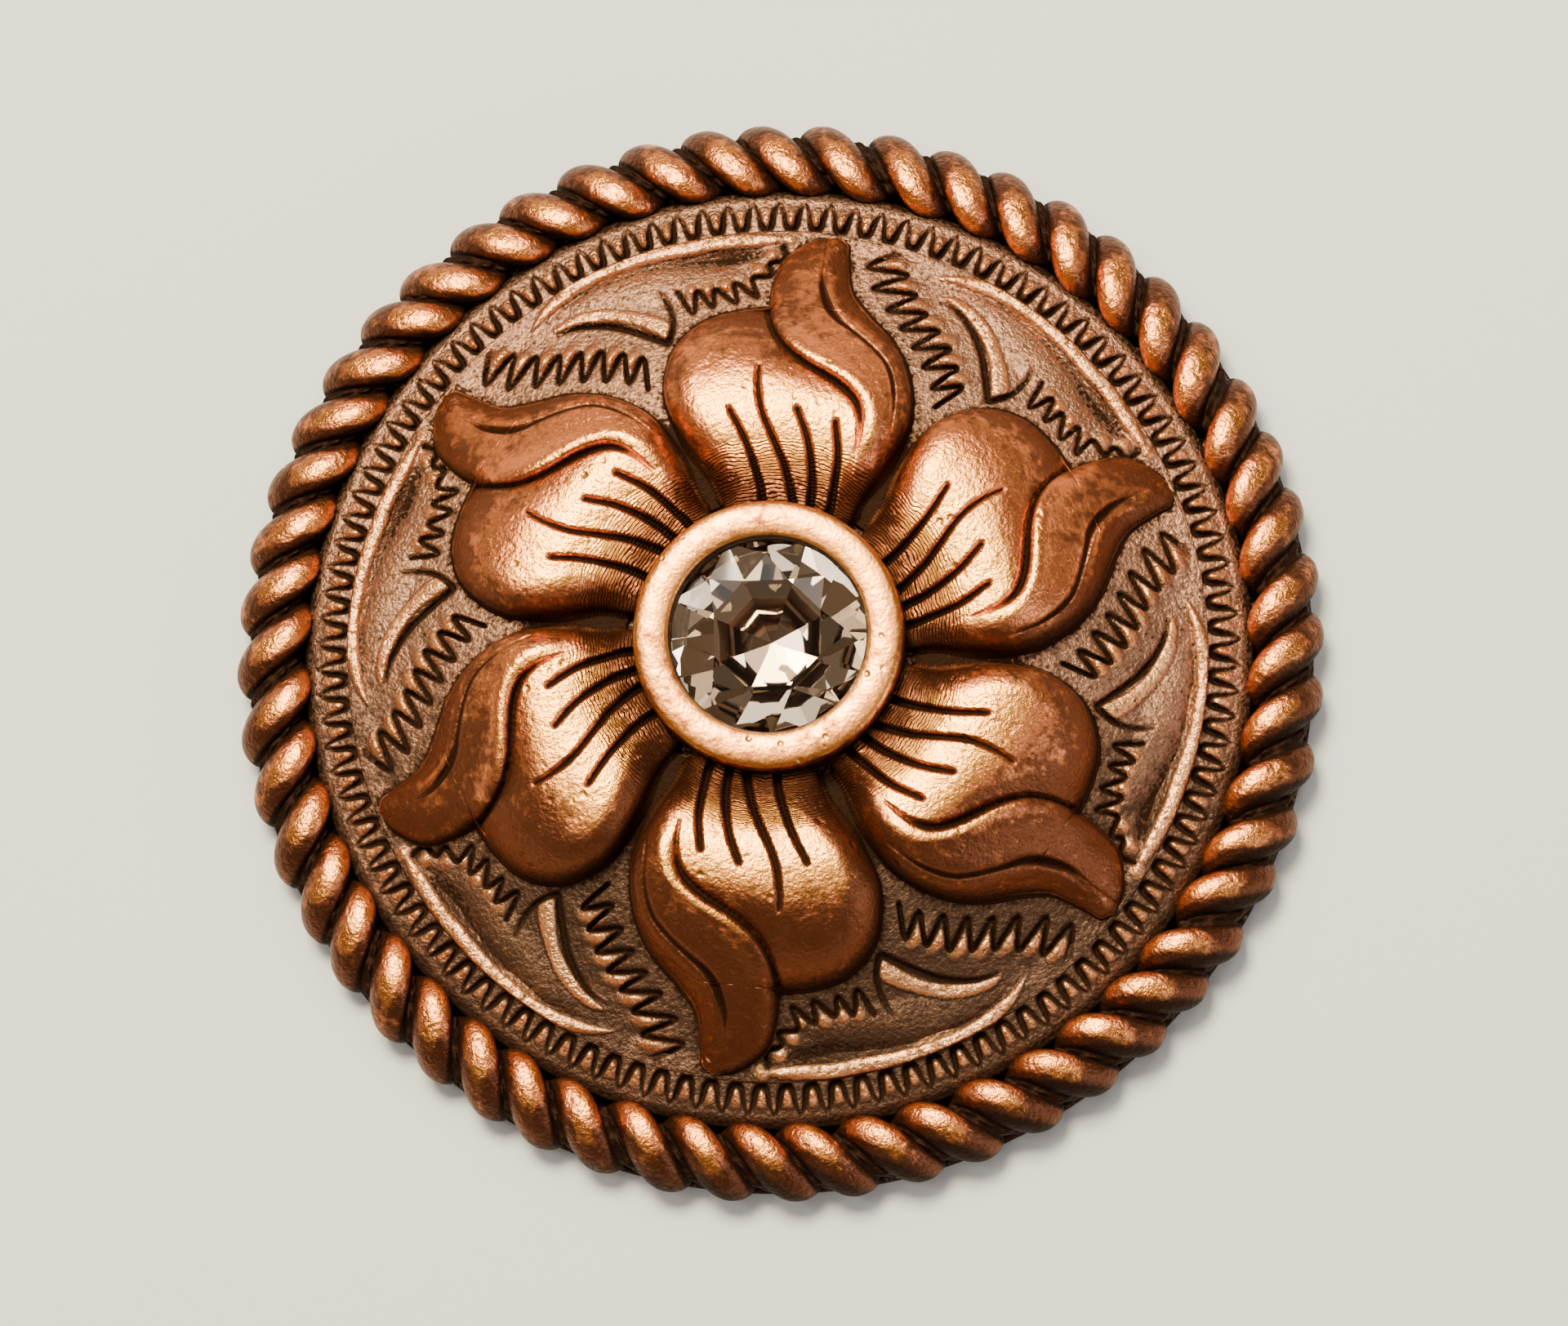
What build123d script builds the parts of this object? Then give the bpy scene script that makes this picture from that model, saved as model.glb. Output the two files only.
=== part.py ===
from build123d import *
from collections import namedtuple
import math
import os
import numpy as np

# Round ornamental concho: a domed plate with raised leaf work and teeth, a twisted
# rope ring seated on its flange, a six-petal flower on the dome, a cup bezel with
# a round cut crystal, and a threaded post behind.
# Millimetres, +Z out of the front, z = 0 on the plane that the rim rests on.

# Driving dimensions: whole piece and rope ring
overall_radius = 16.0
fit_gap = 0.05
rope_tube_radius = 1.12
rope_strands = 52
rope_turn_deg = 7.5
rope_groove_depth = 0.42
rope_groove_power = 2.5
rope_axis_lift = 0.47
flange_thickness = 0.6
flange_lip = 0.4

# Driving dimensions: plate
dome_height = 4.2
plate_wall = 0.9
shoulder_height = 1.6
border_width = 1.2
border_teeth = 110
border_tooth_length = 0.95
border_tooth_foot = 0.24
relief_height = 0.18
relief_root = 0.25
back_rim_width = 1.1
back_rim_slope = 0.45

# Driving dimensions: flower
petal_count = 6
tip_gap = 0.05
petal_thickness = 1.45
least_petal = 0.15
hub_thickness = 0.47
hub_width = 0.65
vein_depth = 0.34
vein_width = 0.3
fold_depth = 0.42
fold_width = 0.42
fold_ridge = 0.08
edge_drop = 0.42
edge_round = 0.7
edge_width_share = 0.25
groove_room_share = 0.33

# Driving dimensions: crystal, bezel and post
stone_radius = 3.0
stone_facets = 8
stone_turn_deg = 21
stone_table_radius = 1.68
crown_height = 0.62
star_height_share = 0.56
girdle_thickness = 0.1
pavilion_depth = 2.2
main_reach_share = 0.42
main_height_share = 0.40
stone_lip = 0.18
lip_drop = 0.36
bezel_rim_width = 1.08
bezel_rise = 0.85
bezel_side_height = 0.4
girdle_lift = 0.13
cup_side = 0.2
cup_wall = 0.3
cup_drain_radius = 0.6
post_wall = 1.2
post_floor = 0.45
thread_radius = 1.25

# Fineness of the faceted surfaces
rope_lines = 5
rope_steps = 8
petal_floor_lines = 5
curve_steps = 12

# Places worked out from the driving dimensions
rope_ring_radius = overall_radius - rope_tube_radius
rope_seat_z = flange_thickness + fit_gap
rope_centre_z = rope_seat_z + rope_axis_lift
shoulder_radius = rope_ring_radius - rope_tube_radius - fit_gap
flange_radius = overall_radius - flange_lip
leaf_radius = shoulder_radius - border_width
flower_reach = leaf_radius - tip_gap
bezel_opening = stone_radius - stone_lip
bezel_radius = bezel_opening + bezel_rim_width
cup_radius = stone_radius + fit_gap + cup_side
bore_radius = cup_radius + fit_gap
hub_radius = bore_radius + hub_width
hub_foot_z = dome_height + fit_gap
hub_top_z = hub_foot_z + hub_thickness
bezel_foot_z = hub_top_z + fit_gap
bezel_top_z = bezel_foot_z + bezel_rise
girdle_z = bezel_foot_z + girdle_lift
girdle_top_z = girdle_z + girdle_thickness
culet_z = girdle_z - pavilion_depth
cup_foot_z = culet_z - cup_wall
cup_foot_radius = cup_drain_radius + cup_wall
cup_slope = stone_radius / pavilion_depth
post_top_z = dome_height - plate_wall - fit_gap
post_seat_z = cup_foot_z - fit_gap
post_seat_radius = cup_foot_radius + (post_top_z - cup_foot_z) * cup_slope + fit_gap
post_radius = post_seat_radius + post_wall
thread_length = post_seat_z - post_floor

Station = namedtuple("Station", "out up")
Point = namedtuple("Point", "across out")
Ridge = namedtuple("Ridge", "across out width")
Tongue = namedtuple("Tongue", "across out length width lean")

# Front of the plate: distance out in leaf_radius, height in dome_height
dome_table = [
    Station(0.32, 1.000),
    Station(0.46, 0.990),
    Station(0.60, 0.905),
    Station(0.72, 0.785),
    Station(0.81, 0.667),
    Station(0.88, 0.571),
    Station(0.95, 0.490),
    Station(1.00, 0.455),
]

# Body of a petal: distance out in flower_reach, rise over the plate in petal_thickness
body_table = [
    Station(0.27, 0.22),
    Station(0.32, 0.34),
    Station(0.36, 0.50),
    Station(0.44, 0.74),
    Station(0.53, 0.95),
    Station(0.62, 1.00),
    Station(0.69, 0.93),
    Station(0.75, 0.73),
    Station(0.80, 0.61),
    Station(0.88, 0.44),
    Station(0.94, 0.34),
    Station(1.00, 0.26),
]

# Curves of the petal that points along +Y, both columns in flower_reach
lobe_edge = [
    Point(-0.090, 0.255),
    Point(-0.108, 0.316),
    Point(-0.140, 0.388),
    Point(-0.200, 0.472),
    Point(-0.244, 0.556),
    Point(-0.250, 0.632),
    Point(-0.228, 0.708),
    Point(-0.168, 0.768),
    Point(-0.088, 0.7945),
    Point(-0.012, 0.802),
]
flame_edge = [
    Point(-0.012, 0.802),
    Point(-0.004, 0.872),
    Point(0.020, 0.932),
    Point(0.080, 0.976),
    Point(0.140, 0.990),
]
right_edge = [
    Point(0.160, 0.220),
    Point(0.200, 0.308),
    Point(0.260, 0.400),
    Point(0.308, 0.484),
    Point(0.320, 0.552),
    Point(0.310, 0.636),
    Point(0.276, 0.712),
    Point(0.216, 0.784),
    Point(0.176, 0.848),
    Point(0.166, 0.928),
    Point(0.164, 0.968),
    Point(0.140, 0.990),
]
lobe_fold = [
    Point(0.204, 0.448),
    Point(0.208, 0.508),
    Point(0.180, 0.568),
    Point(0.112, 0.620),
    Point(0.044, 0.672),
    Point(0.002, 0.732),
    Point(-0.014, 0.788),
]
flame_fold = [
    Point(0.280, 0.480),
    Point(0.284, 0.528),
    Point(0.278, 0.608),
    Point(0.240, 0.676),
    Point(0.176, 0.736),
    Point(0.116, 0.820),
    Point(0.110, 0.896),
]
veins = [
    [
        Point(-0.014, 0.270),
        Point(-0.018, 0.316),
        Point(-0.028, 0.376),
        Point(-0.056, 0.456),
        Point(-0.092, 0.528),
    ],
    [
        Point(0.052, 0.270),
        Point(0.052, 0.316),
        Point(0.036, 0.392),
        Point(0.002, 0.472),
        Point(-0.026, 0.628),
    ],
    [
        Point(0.082, 0.260),
        Point(0.092, 0.312),
        Point(0.098, 0.376),
        Point(0.088, 0.456),
        Point(0.064, 0.528),
    ],
    [
        Point(0.116, 0.250),
        Point(0.138, 0.300),
        Point(0.146, 0.336),
        Point(0.158, 0.416),
        Point(0.152, 0.496),
    ],
]
# Rows of a petal from the middle of the hub ring to the tip, as shares of that span
petal_rows = [0, 0.04, 0.09, 0.16, 0.24, 0.33, 0.42, 0.50, 0.57, 0.64, 0.69, 0.72, 0.80, 0.89, 0.96, 1]

# Leaf work right of the petal that points along +Y, all columns but lean in leaf_radius
leaf_ridges = [
    [
        Ridge(0.400, 0.876, 0.006),
        Ridge(0.480, 0.864, 0.022),
        Ridge(0.571, 0.819, 0.028),
        Ridge(0.652, 0.750, 0.028),
        Ridge(0.734, 0.655, 0.026),
        Ridge(0.796, 0.578, 0.020),
        Ridge(0.852, 0.492, 0.006),
    ],
    [
        Ridge(0.404, 0.832, 0.006),
        Ridge(0.432, 0.812, 0.024),
        Ridge(0.484, 0.752, 0.030),
        Ridge(0.516, 0.672, 0.030),
        Ridge(0.524, 0.620, 0.040),
        Ridge(0.522, 0.600, 0.010),
    ],
    [
        Ridge(0.500, 0.570, 0.006),
        Ridge(0.560, 0.590, 0.018),
        Ridge(0.592, 0.632, 0.022),
        Ridge(0.604, 0.676, 0.008),
    ],
]
leaf_blade = [
    Point(0.450, 0.842),
    Point(0.520, 0.824),
    Point(0.600, 0.764),
    Point(0.680, 0.684),
    Point(0.724, 0.612),
    Point(0.690, 0.596),
    Point(0.630, 0.640),
    Point(0.570, 0.700),
    Point(0.530, 0.740),
]
tongues = [
    Tongue(0.284, 0.914, 0.066, 0.026, -8),
    Tongue(0.300, 0.860, 0.072, 0.026, -8),
    Tongue(0.328, 0.812, 0.066, 0.026, -8),
    Tongue(0.360, 0.768, 0.062, 0.026, -8),
    Tongue(0.388, 0.724, 0.056, 0.026, -8),
    Tongue(0.408, 0.672, 0.050, 0.024, -8),
    Tongue(0.420, 0.628, 0.042, 0.022, -8),
    Tongue(0.615, 0.595, 0.034, 0.022, 60),
    Tongue(0.650, 0.560, 0.034, 0.022, 60),
    Tongue(0.686, 0.526, 0.034, 0.022, 60),
    Tongue(0.722, 0.496, 0.034, 0.022, 60),
    Tongue(0.760, 0.482, 0.034, 0.022, 60),
    Tongue(0.796, 0.492, 0.030, 0.022, 60),
]

standing = (Align.CENTER, Align.CENTER, Align.MIN)


def smooth_curve(points):
    """Points of a curve that passes smoothly through the given ones."""
    given = np.array(points, dtype=float)
    ends = [2 * given[0] - given[1], *given, 2 * given[-1] - given[-2]]
    found = []
    for before, start, stop, after in zip(ends, ends[1:], ends[2:], ends[3:]):
        for step in range(curve_steps):
            t = step / curve_steps
            slope = (stop - before) / 2
            bend = before - 2.5 * start + 2 * stop - after / 2
            twist = (3 * start - before - 3 * stop + after) / 2
            found.append(start + t * slope + t**2 * bend + t**3 * twist)
    return np.array([*found, given[-1]])


class PetalLine:
    """Curve of a petal, read as the clockwise angle at a distance out."""

    def __init__(self, points):
        curve = smooth_curve(points)
        out = np.hypot(curve[:, 0], curve[:, 1])
        order = np.argsort(out)
        self.out = out[order]
        self.angles = np.arctan2(curve[:, 0], curve[:, 1])[order]
        self.start = self.out[0]
        self.end = self.out[-1]

    def at(self, out):
        return float(np.interp(out, self.out, self.angles))


lobe_line = PetalLine(lobe_edge)
flame_line = PetalLine(flame_edge)
right_line = PetalLine(right_edge)
lobe_fold_line = PetalLine(lobe_fold)
flame_fold_line = PetalLine(flame_fold)
vein_lines = [PetalLine(points) for points in veins]


def left_angle(out):
    """Angle of a petal's left edge: the lobe's, then the flame's."""
    return lobe_line.at(out) if out < lobe_line.end else flame_line.at(out)


def share_between(low, line, high):
    """How far a line lies from the low one towards the high one."""
    return (line - low) / (high - low)


def lobe_fold_angle(out):
    """Angle of the fold between lobe and flame, carried on past its two ends."""
    if out >= lobe_line.end:
        return left_angle(out)
    if out > lobe_fold_line.end:
        left = (lobe_line.end - out) / (lobe_line.end - lobe_fold_line.end)
        end = lobe_fold_line.end
        return left_angle(out) + left * (lobe_fold_line.at(end) - left_angle(end))
    if out < lobe_fold_line.start:
        start = lobe_fold_line.start
        part = share_between(vein_lines[-1].at(start), lobe_fold_line.at(start), right_line.at(start))
        return vein_lines[-1].at(out) + part * (right_line.at(out) - vein_lines[-1].at(out))
    return lobe_fold_line.at(out)


def flame_fold_angle(out):
    """Angle of the flame's own fold, carried on past its two ends."""
    held = min(max(out, flame_fold_line.start), flame_fold_line.end)
    part = share_between(lobe_fold_angle(held), flame_fold_line.at(held), right_line.at(held))
    return lobe_fold_angle(out) + part * (right_line.at(out) - lobe_fold_angle(out))


def vein_angle(line, out):
    """Angle of a vein, carried on past its outer end."""
    if out <= line.end:
        return line.at(out)
    part = share_between(left_angle(line.end), line.at(line.end), lobe_fold_angle(line.end))
    return left_angle(out) + part * (lobe_fold_angle(out) - left_angle(out))


def plate_top(radius):
    """Height of the plate's plain front at a distance from the axis."""
    reach = [row.out * leaf_radius for row in dome_table] + [shoulder_radius]
    rise = [row.up * dome_height for row in dome_table] + [shoulder_height]
    return float(np.interp(radius, reach, rise))


def petal_body(radius):
    """Height of a petal before its edge is rounded and its grooves are cut."""
    out, up = zip(*body_table)
    return plate_top(radius) + float(np.interp(radius / flower_reach, out, up)) * petal_thickness


def faceted_solid(triangles):
    """One closed solid from triangles, with those that have shrunk to a line left out."""
    faces = []
    for corners in triangles:
        apart = {tuple(round(value, 5) for value in corner) for corner in corners}
        if len(apart) == len(corners):
            faces.append(Face(Wire.make_polygon([Vector(*corner) for corner in corners])))
    return Solid(Shell(faces))


def strip(first, second):
    """Triangles between two rows with as many points."""
    made = []
    for a, b, c, d in zip(first, first[1:], second, second[1:]):
        made.append((a, b, d))
        made.append((a, d, c))
    return made


def zip_rows(dense, sparse, dense_places, sparse_places):
    """Triangles between two rows with different numbers of points, matched by their places."""
    made = []
    i = j = 0
    while i < len(dense) - 1 or j < len(sparse) - 1:
        dense_next = i < len(dense) - 1 and (
            j == len(sparse) - 1 or dense_places[i + 1] <= sparse_places[j + 1]
        )
        if dense_next:
            made.append((dense[i], dense[i + 1], sparse[j]))
            i += 1
        else:
            made.append((dense[i], sparse[j + 1], sparse[j]))
            j += 1
    return made


def on_circle(radius, angle, height):
    """Point at a clockwise angle from +Y."""
    return (radius * math.sin(angle), radius * math.cos(angle), height)


def petal_row(radius):
    """Clockwise angle and groove depth of each point across a petal's top."""
    out = radius / flower_reach
    left, right = left_angle(out), right_line.at(out)
    lines = [(vein_angle(line, out), out <= line.end, vein_depth, vein_width, 0) for line in vein_lines]
    in_lobe_fold = lobe_fold_line.start < out < lobe_line.end
    in_flame_fold = flame_fold_line.start < out < flame_fold_line.end
    lines.append((lobe_fold_angle(out), in_lobe_fold, fold_depth, fold_width, fold_ridge))
    lines.append((flame_fold_angle(out), in_flame_fold, fold_depth, fold_width, fold_ridge))
    marks = [left, *(line[0] for line in lines), right]
    inset = min(edge_round / radius, (right - left) * edge_width_share)
    row = [(left, 0), (left + inset * groove_room_share, 0), (left + inset, 0)]
    for k, (angle, cut, depth, width, ridge) in enumerate(lines):
        room = min(angle - marks[k], marks[k + 2] - angle) * groove_room_share
        half = min(width / 2 / radius, room)
        grow = cut * half * radius * 2 / width
        row += [(angle - half, 0), (angle, depth * grow), (angle + half, -ridge * grow)]
    row += [(right - inset, 0), (right - inset * groove_room_share, 0), (right, 0)]
    angles = np.maximum.accumulate([angle for angle, _ in row])
    return [(float(min(angle, right)), drop) for angle, (_, drop) in zip(angles, row)]


def petal():
    """Petal that points along +Y: a lobe and an S-shaped flame with folds and veins."""
    left_side = [*smooth_curve(lobe_edge), *smooth_curve(flame_edge)]
    outline = np.array([*left_side, *smooth_curve(right_edge)[::-1]]) * flower_reach
    starts = outline[:-1]
    runs = outline[1:] - starts
    lengths = np.maximum((runs**2).sum(1), fit_gap**4)

    def edge_rounding(x, y):
        """Drop of the top near the outline."""
        spot = np.array([x, y])
        part = np.clip(((spot - starts) * runs).sum(1) / lengths, 0, 1)
        nearest = starts + runs * part[:, None] - spot
        inside = min(float(np.hypot(nearest[:, 0], nearest[:, 1]).min()) / edge_round, 1)
        return edge_drop * (1 - math.sqrt(1 - (1 - inside) ** 2))

    tops, floors, top_places, floor_places = [], [], [], []
    root_radius = hub_radius - hub_width / 2
    for share in petal_rows:
        radius = root_radius + share * (flower_reach - root_radius)
        row = petal_row(radius)
        top = []
        for angle, drop in row:
            x, y, height = on_circle(radius, angle, petal_body(radius) - drop)
            if radius > hub_radius:
                height -= edge_rounding(x, y)
            top.append((x, y, max(height, plate_top(radius) + least_petal)))
        places = np.linspace(row[0][0], row[-1][0], petal_floor_lines)
        tops.append(top)
        floors.append([on_circle(radius, angle, plate_top(radius) + fit_gap) for angle in places])
        top_places.append([angle for angle, _ in row])
        floor_places.append(list(places))
    triangles = zip_rows(tops[0], floors[0], top_places[0], floor_places[0])
    for k in range(len(petal_rows) - 1):
        triangles += strip(tops[k], tops[k + 1])
        triangles += strip(floors[k + 1], floors[k])
        triangles += strip([tops[k + 1][0], tops[k][0]], [floors[k + 1][0], floors[k][0]])
        triangles += strip([tops[k][-1], tops[k + 1][-1]], [floors[k][-1], floors[k + 1][-1]])
    return faceted_solid(triangles)


def flower():
    """Six petals on one hub ring with a hole for the bezel's cup."""
    hub = Cylinder(hub_radius, hub_thickness, align=standing)
    hub -= Cylinder(bore_radius, hub_thickness, align=standing)
    one = petal()
    return Pos(0, 0, hub_foot_z) * hub + [Rot(0, 0, 360 * k / petal_count) * one for k in range(petal_count)]


def ridge_face(rows):
    """Flat outline of a ridge that follows the rows, as wide as each row says."""
    table = np.array(rows) * leaf_radius
    line, half = table[:, :2], table[:, 2:] / 2
    along = np.gradient(line, axis=0)
    along /= np.hypot(along[:, 0], along[:, 1])[:, None]
    side = np.stack([-along[:, 1], along[:, 0]], 1) * half
    corners = [*(line + side), *(line - side)[::-1]]
    return make_face(Polyline(*[tuple(corner) for corner in corners], close=True))


def leaf_work():
    """Flat outlines of the raised leaf work in the gap between two petals."""
    faces = [ridge_face(rows) for rows in leaf_ridges]
    blade = [(row.across * leaf_radius, row.out * leaf_radius) for row in leaf_blade]
    faces.append(make_face(Polyline(*blade, close=True)))
    for row in tongues:
        spot = Pos(row.across * leaf_radius, row.out * leaf_radius) * Rot(0, 0, row.lean)
        faces.append(spot * Rectangle(row.length * leaf_radius, row.width * leaf_radius))
    return faces


def border_face():
    """Flat ring with teeth that point inwards, all round the field."""
    tooth_root = shoulder_radius - 2 * fit_gap
    corners = []
    for k in range(2 * border_teeth):
        radius = tooth_root - (border_tooth_length if k % 2 else border_tooth_foot)
        angle = math.pi * k / border_teeth
        corners.append((radius * math.cos(angle), radius * math.sin(angle)))
    return Circle(tooth_root) - make_face(Polyline(*corners, close=True))


def plate_front(lift, inner, outer):
    """Points along the plate's front between two distances out, lifted by an amount."""
    knees = [row.out * leaf_radius for row in dome_table]
    stops = [inner, *(knee for knee in knees if inner < knee < outer), outer]
    return [(stop, plate_top(stop) + lift) for stop in stops]


def turned(corners):
    """Solid of revolution about the axis from corners given as distance out and height."""
    return revolve(Plane.XZ * make_face(Polyline(*corners, close=True)), Axis.Z)


def base_plate():
    """Domed hollow-backed plate with a flange for the rope and raised work on its front."""
    rim_inside = shoulder_radius - back_rim_width
    plate = turned([
        *plate_front(0, bore_radius, shoulder_radius),
        (shoulder_radius, flange_thickness),
        (flange_radius, flange_thickness),
        (flange_radius, 0),
        (rim_inside, 0),
        *reversed(plate_front(-plate_wall, bore_radius, rim_inside - back_rim_slope)),
    ])
    field_edge = shoulder_radius - fit_gap
    skin = turned([
        *plate_front(relief_height, hub_radius, field_edge),
        *reversed(plate_front(-relief_root, hub_radius, field_edge)),
    ])
    border = skin & extrude(border_face(), dome_height)
    sector = [skin & extrude(face, dome_height) for face in leaf_work()]
    leaves = [Rot(0, 0, 360 * k / petal_count) * piece for k in range(petal_count) for piece in sector]
    return plate + [border, *leaves]


def rope_edge():
    """Twisted rope ring with a flat underside: strands that lean across a round body."""
    low_angle = math.asin(rope_axis_lift / rope_tube_radius)
    count = rope_strands * rope_lines
    rings = []
    for i in range(rope_steps + 1):
        part = i / rope_steps
        around = part * (math.pi + 2 * low_angle) - low_angle
        ring = []
        for j in range(count):
            from_crown = abs(2 * (j % rope_lines) / rope_lines - 1)
            tube = rope_tube_radius - rope_groove_depth * from_crown**rope_groove_power
            turn = 2 * math.pi * j / count - math.radians(rope_turn_deg) * (part - 0.5)
            height = rope_seat_z
            if 0 < i < rope_steps:
                height = max(rope_centre_z + tube * math.sin(around), rope_seat_z)
            out = rope_ring_radius + tube * math.cos(around)
            ring.append((out * math.cos(turn), out * math.sin(turn), height))
        rings.append([*ring, ring[0]])
    triangles = strip(rings[-1], rings[0])
    for first, second in zip(rings, rings[1:]):
        triangles += strip(first, second)
    return faceted_solid(triangles)


def bezel():
    """Cup with a rounded rim: the rim lies on the flower's hub and the bowl holds the stone's back."""
    pocket_radius = stone_radius + fit_gap
    bowl_top_z = girdle_z - fit_gap
    bowl_foot_z = bowl_top_z - (pocket_radius - cup_drain_radius) / cup_slope
    cone_top_z = cup_foot_z + (cup_radius - cup_foot_radius) / cup_slope
    with BuildSketch(Plane.XZ) as section:
        with BuildLine():
            side = Line((bezel_radius, bezel_foot_z), (bezel_radius, bezel_foot_z + bezel_side_height))
            crown = ThreePointArc(
                side @ 1,
                (bezel_opening + bezel_rim_width / 2, bezel_top_z),
                (bezel_opening, bezel_top_z - lip_drop),
            )
            inside = Polyline(
                crown @ 1,
                (pocket_radius, girdle_top_z + fit_gap),
                (pocket_radius, bowl_top_z),
                (cup_drain_radius, bowl_foot_z),
                (cup_drain_radius, cup_foot_z),
            )
            Polyline(
                inside @ 1,
                (cup_foot_radius, cup_foot_z),
                (cup_radius, cone_top_z),
                (cup_radius, bezel_foot_z),
                side @ 0,
            )
        make_face()
    return revolve(section.sketch, Axis.Z)


def crystal():
    """Round stone: eight-sided table, star, kite and girdle facets above, mains and halves below."""
    star_radius = (stone_radius + stone_table_radius) / 2
    table_z = girdle_top_z + crown_height

    star_z = girdle_top_z + crown_height * star_height_share
    main_radius = stone_radius * main_reach_share
    main_z = culet_z + pavilion_depth * main_height_share

    def ring(radius, height, number, shift):
        """Points spaced evenly round the axis."""
        turns = [math.radians(stone_turn_deg) + 2 * math.pi * (k + shift) / number for k in range(number)]
        return [on_circle(radius, turn, height) for turn in turns]

    top = ring(stone_table_radius, table_z, stone_facets, 0)
    stars = ring(star_radius, star_z, stone_facets, 0.5)
    upper = ring(stone_radius, girdle_top_z, 2 * stone_facets, 0)
    lower = ring(stone_radius, girdle_z, 2 * stone_facets, 0)
    mids = ring(main_radius, main_z, stone_facets, 0.5)
    middle = (0, 0, table_z)
    culet = (0, 0, culet_z)
    triangles = []
    for k in range(stone_facets):
        n = (k + 1) % stone_facets
        even, odd, after = 2 * k, 2 * k + 1, 2 * n
        triangles += [(middle, top[k], top[n]), (top[n], top[k], stars[k])]
        triangles += [(top[k], upper[even], stars[k]), (top[n], stars[k], upper[after])]
        triangles += [(upper[even], upper[odd], stars[k]), (upper[odd], upper[after], stars[k])]
        triangles += strip([lower[even], lower[odd], lower[after]], [upper[even], upper[odd], upper[after]])
        triangles += [(lower[odd], lower[even], mids[k]), (lower[after], lower[odd], mids[k])]
        triangles += [(lower[even], mids[k - 1], mids[k]), (mids[k - 1], culet, mids[k])]
    return faceted_solid(triangles)


def screw_post():
    """Plain post behind the plate, with a seat for the cup's foot and a threaded hole."""
    post = Cylinder(post_radius, post_top_z, align=standing)
    post -= Pos(0, 0, post_seat_z) * Cylinder(post_seat_radius, post_top_z, align=standing)
    return post - Cylinder(thread_radius, thread_length, align=standing)


pieces = {
    "base_plate": base_plate,
    "rope_edge": rope_edge,
    "flower": flower,
    "bezel": bezel,
    "crystal": crystal,
    "screw_post": screw_post,
}
os.makedirs("parts", exist_ok=True)
for name, make in pieces.items():
    shape = make()
    export_step(shape, f"parts/{name}.step")
    print(name, "solids", len(shape.solids()), "volume", round(shape.volume, 2))
print("thread length", round(thread_length, 4), "post radius", round(post_radius, 3))
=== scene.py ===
import bpy
import math
import numpy as np
from mathutils import Matrix


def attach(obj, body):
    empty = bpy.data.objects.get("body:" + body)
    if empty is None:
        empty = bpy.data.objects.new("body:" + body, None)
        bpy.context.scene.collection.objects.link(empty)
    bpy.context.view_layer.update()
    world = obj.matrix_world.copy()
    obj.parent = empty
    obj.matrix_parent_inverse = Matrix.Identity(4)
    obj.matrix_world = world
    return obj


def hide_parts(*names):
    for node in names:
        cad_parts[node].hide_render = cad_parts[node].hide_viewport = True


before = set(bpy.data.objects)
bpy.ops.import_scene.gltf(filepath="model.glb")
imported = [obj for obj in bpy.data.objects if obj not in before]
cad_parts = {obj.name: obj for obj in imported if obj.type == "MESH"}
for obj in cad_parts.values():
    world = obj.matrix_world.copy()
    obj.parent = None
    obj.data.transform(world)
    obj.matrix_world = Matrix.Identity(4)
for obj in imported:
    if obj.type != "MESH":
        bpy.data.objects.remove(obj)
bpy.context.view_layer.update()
print("frame loaded with", len(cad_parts), "solids")

# Tables are in millimetres, and angles run clockwise from +Y unless a note says otherwise.
mm = 0.001
sixths = [math.radians(60 * k) for k in range(6)]


# Shapes

# A smooth curve through given points: on each span a cubic whose slope at either end is
# half the step between that end's two neighbours. Extra columns are carried along.
def smoothCurve(given, steps=10):
    given = np.asarray(given, float)
    full = np.vstack([2 * given[0] - given[1], given, 2 * given[-1] - given[-2]])
    before, start, stop, after = full[:-3, None], full[1:-2, None], full[2:-1, None], full[3:, None]
    t = np.linspace(0, 1, steps, endpoint=False)[None, :, None]
    bend = before - 2.5 * start + 2 * stop - after / 2
    twist = (3 * start - before - 3 * stop + after) / 2
    curve = start + t * (stop - before) / 2 + t**2 * bend + t**3 * twist
    return np.vstack([curve.reshape(-1, given.shape[1]), given[-1]])


# Distance from each point to the nearest place on a broken line, how far along the line that
# place is counted in points, and on which side of the line the point lies (+1 is left).
def nearCurve(x, y, curve):
    starts, runs = curve[:-1, :2], np.diff(curve[:, :2], axis=0)
    lengths = np.maximum((runs**2).sum(1), 1e-12)
    dx, dy = x.ravel()[:, None] - starts[:, 0], y.ravel()[:, None] - starts[:, 1]
    part = np.clip((dx * runs[:, 0] + dy * runs[:, 1]) / lengths, 0, 1)
    gap = (dx - part * runs[:, 0]) ** 2 + (dy - part * runs[:, 1]) ** 2
    nearest = gap.argmin(1)
    pick = (np.arange(len(nearest)), nearest)
    side = np.sign(runs[nearest, 0] * dy[pick] - runs[nearest, 1] * dx[pick])
    return [value.reshape(x.shape) for value in (np.sqrt(gap[pick]), nearest + part[pick], side)]


# One minus the square of distance over half width, never below zero: a round-bottomed channel.
def channel(distance, halfWidth):
    return np.clip(1 - (distance / np.maximum(halfWidth, 1e-6)) ** 2, 0, 1)


# e to the minus square of distance over width: a soft ridge.
def swell(distance, width):
    return np.exp(-((distance / width) ** 2))


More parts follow.
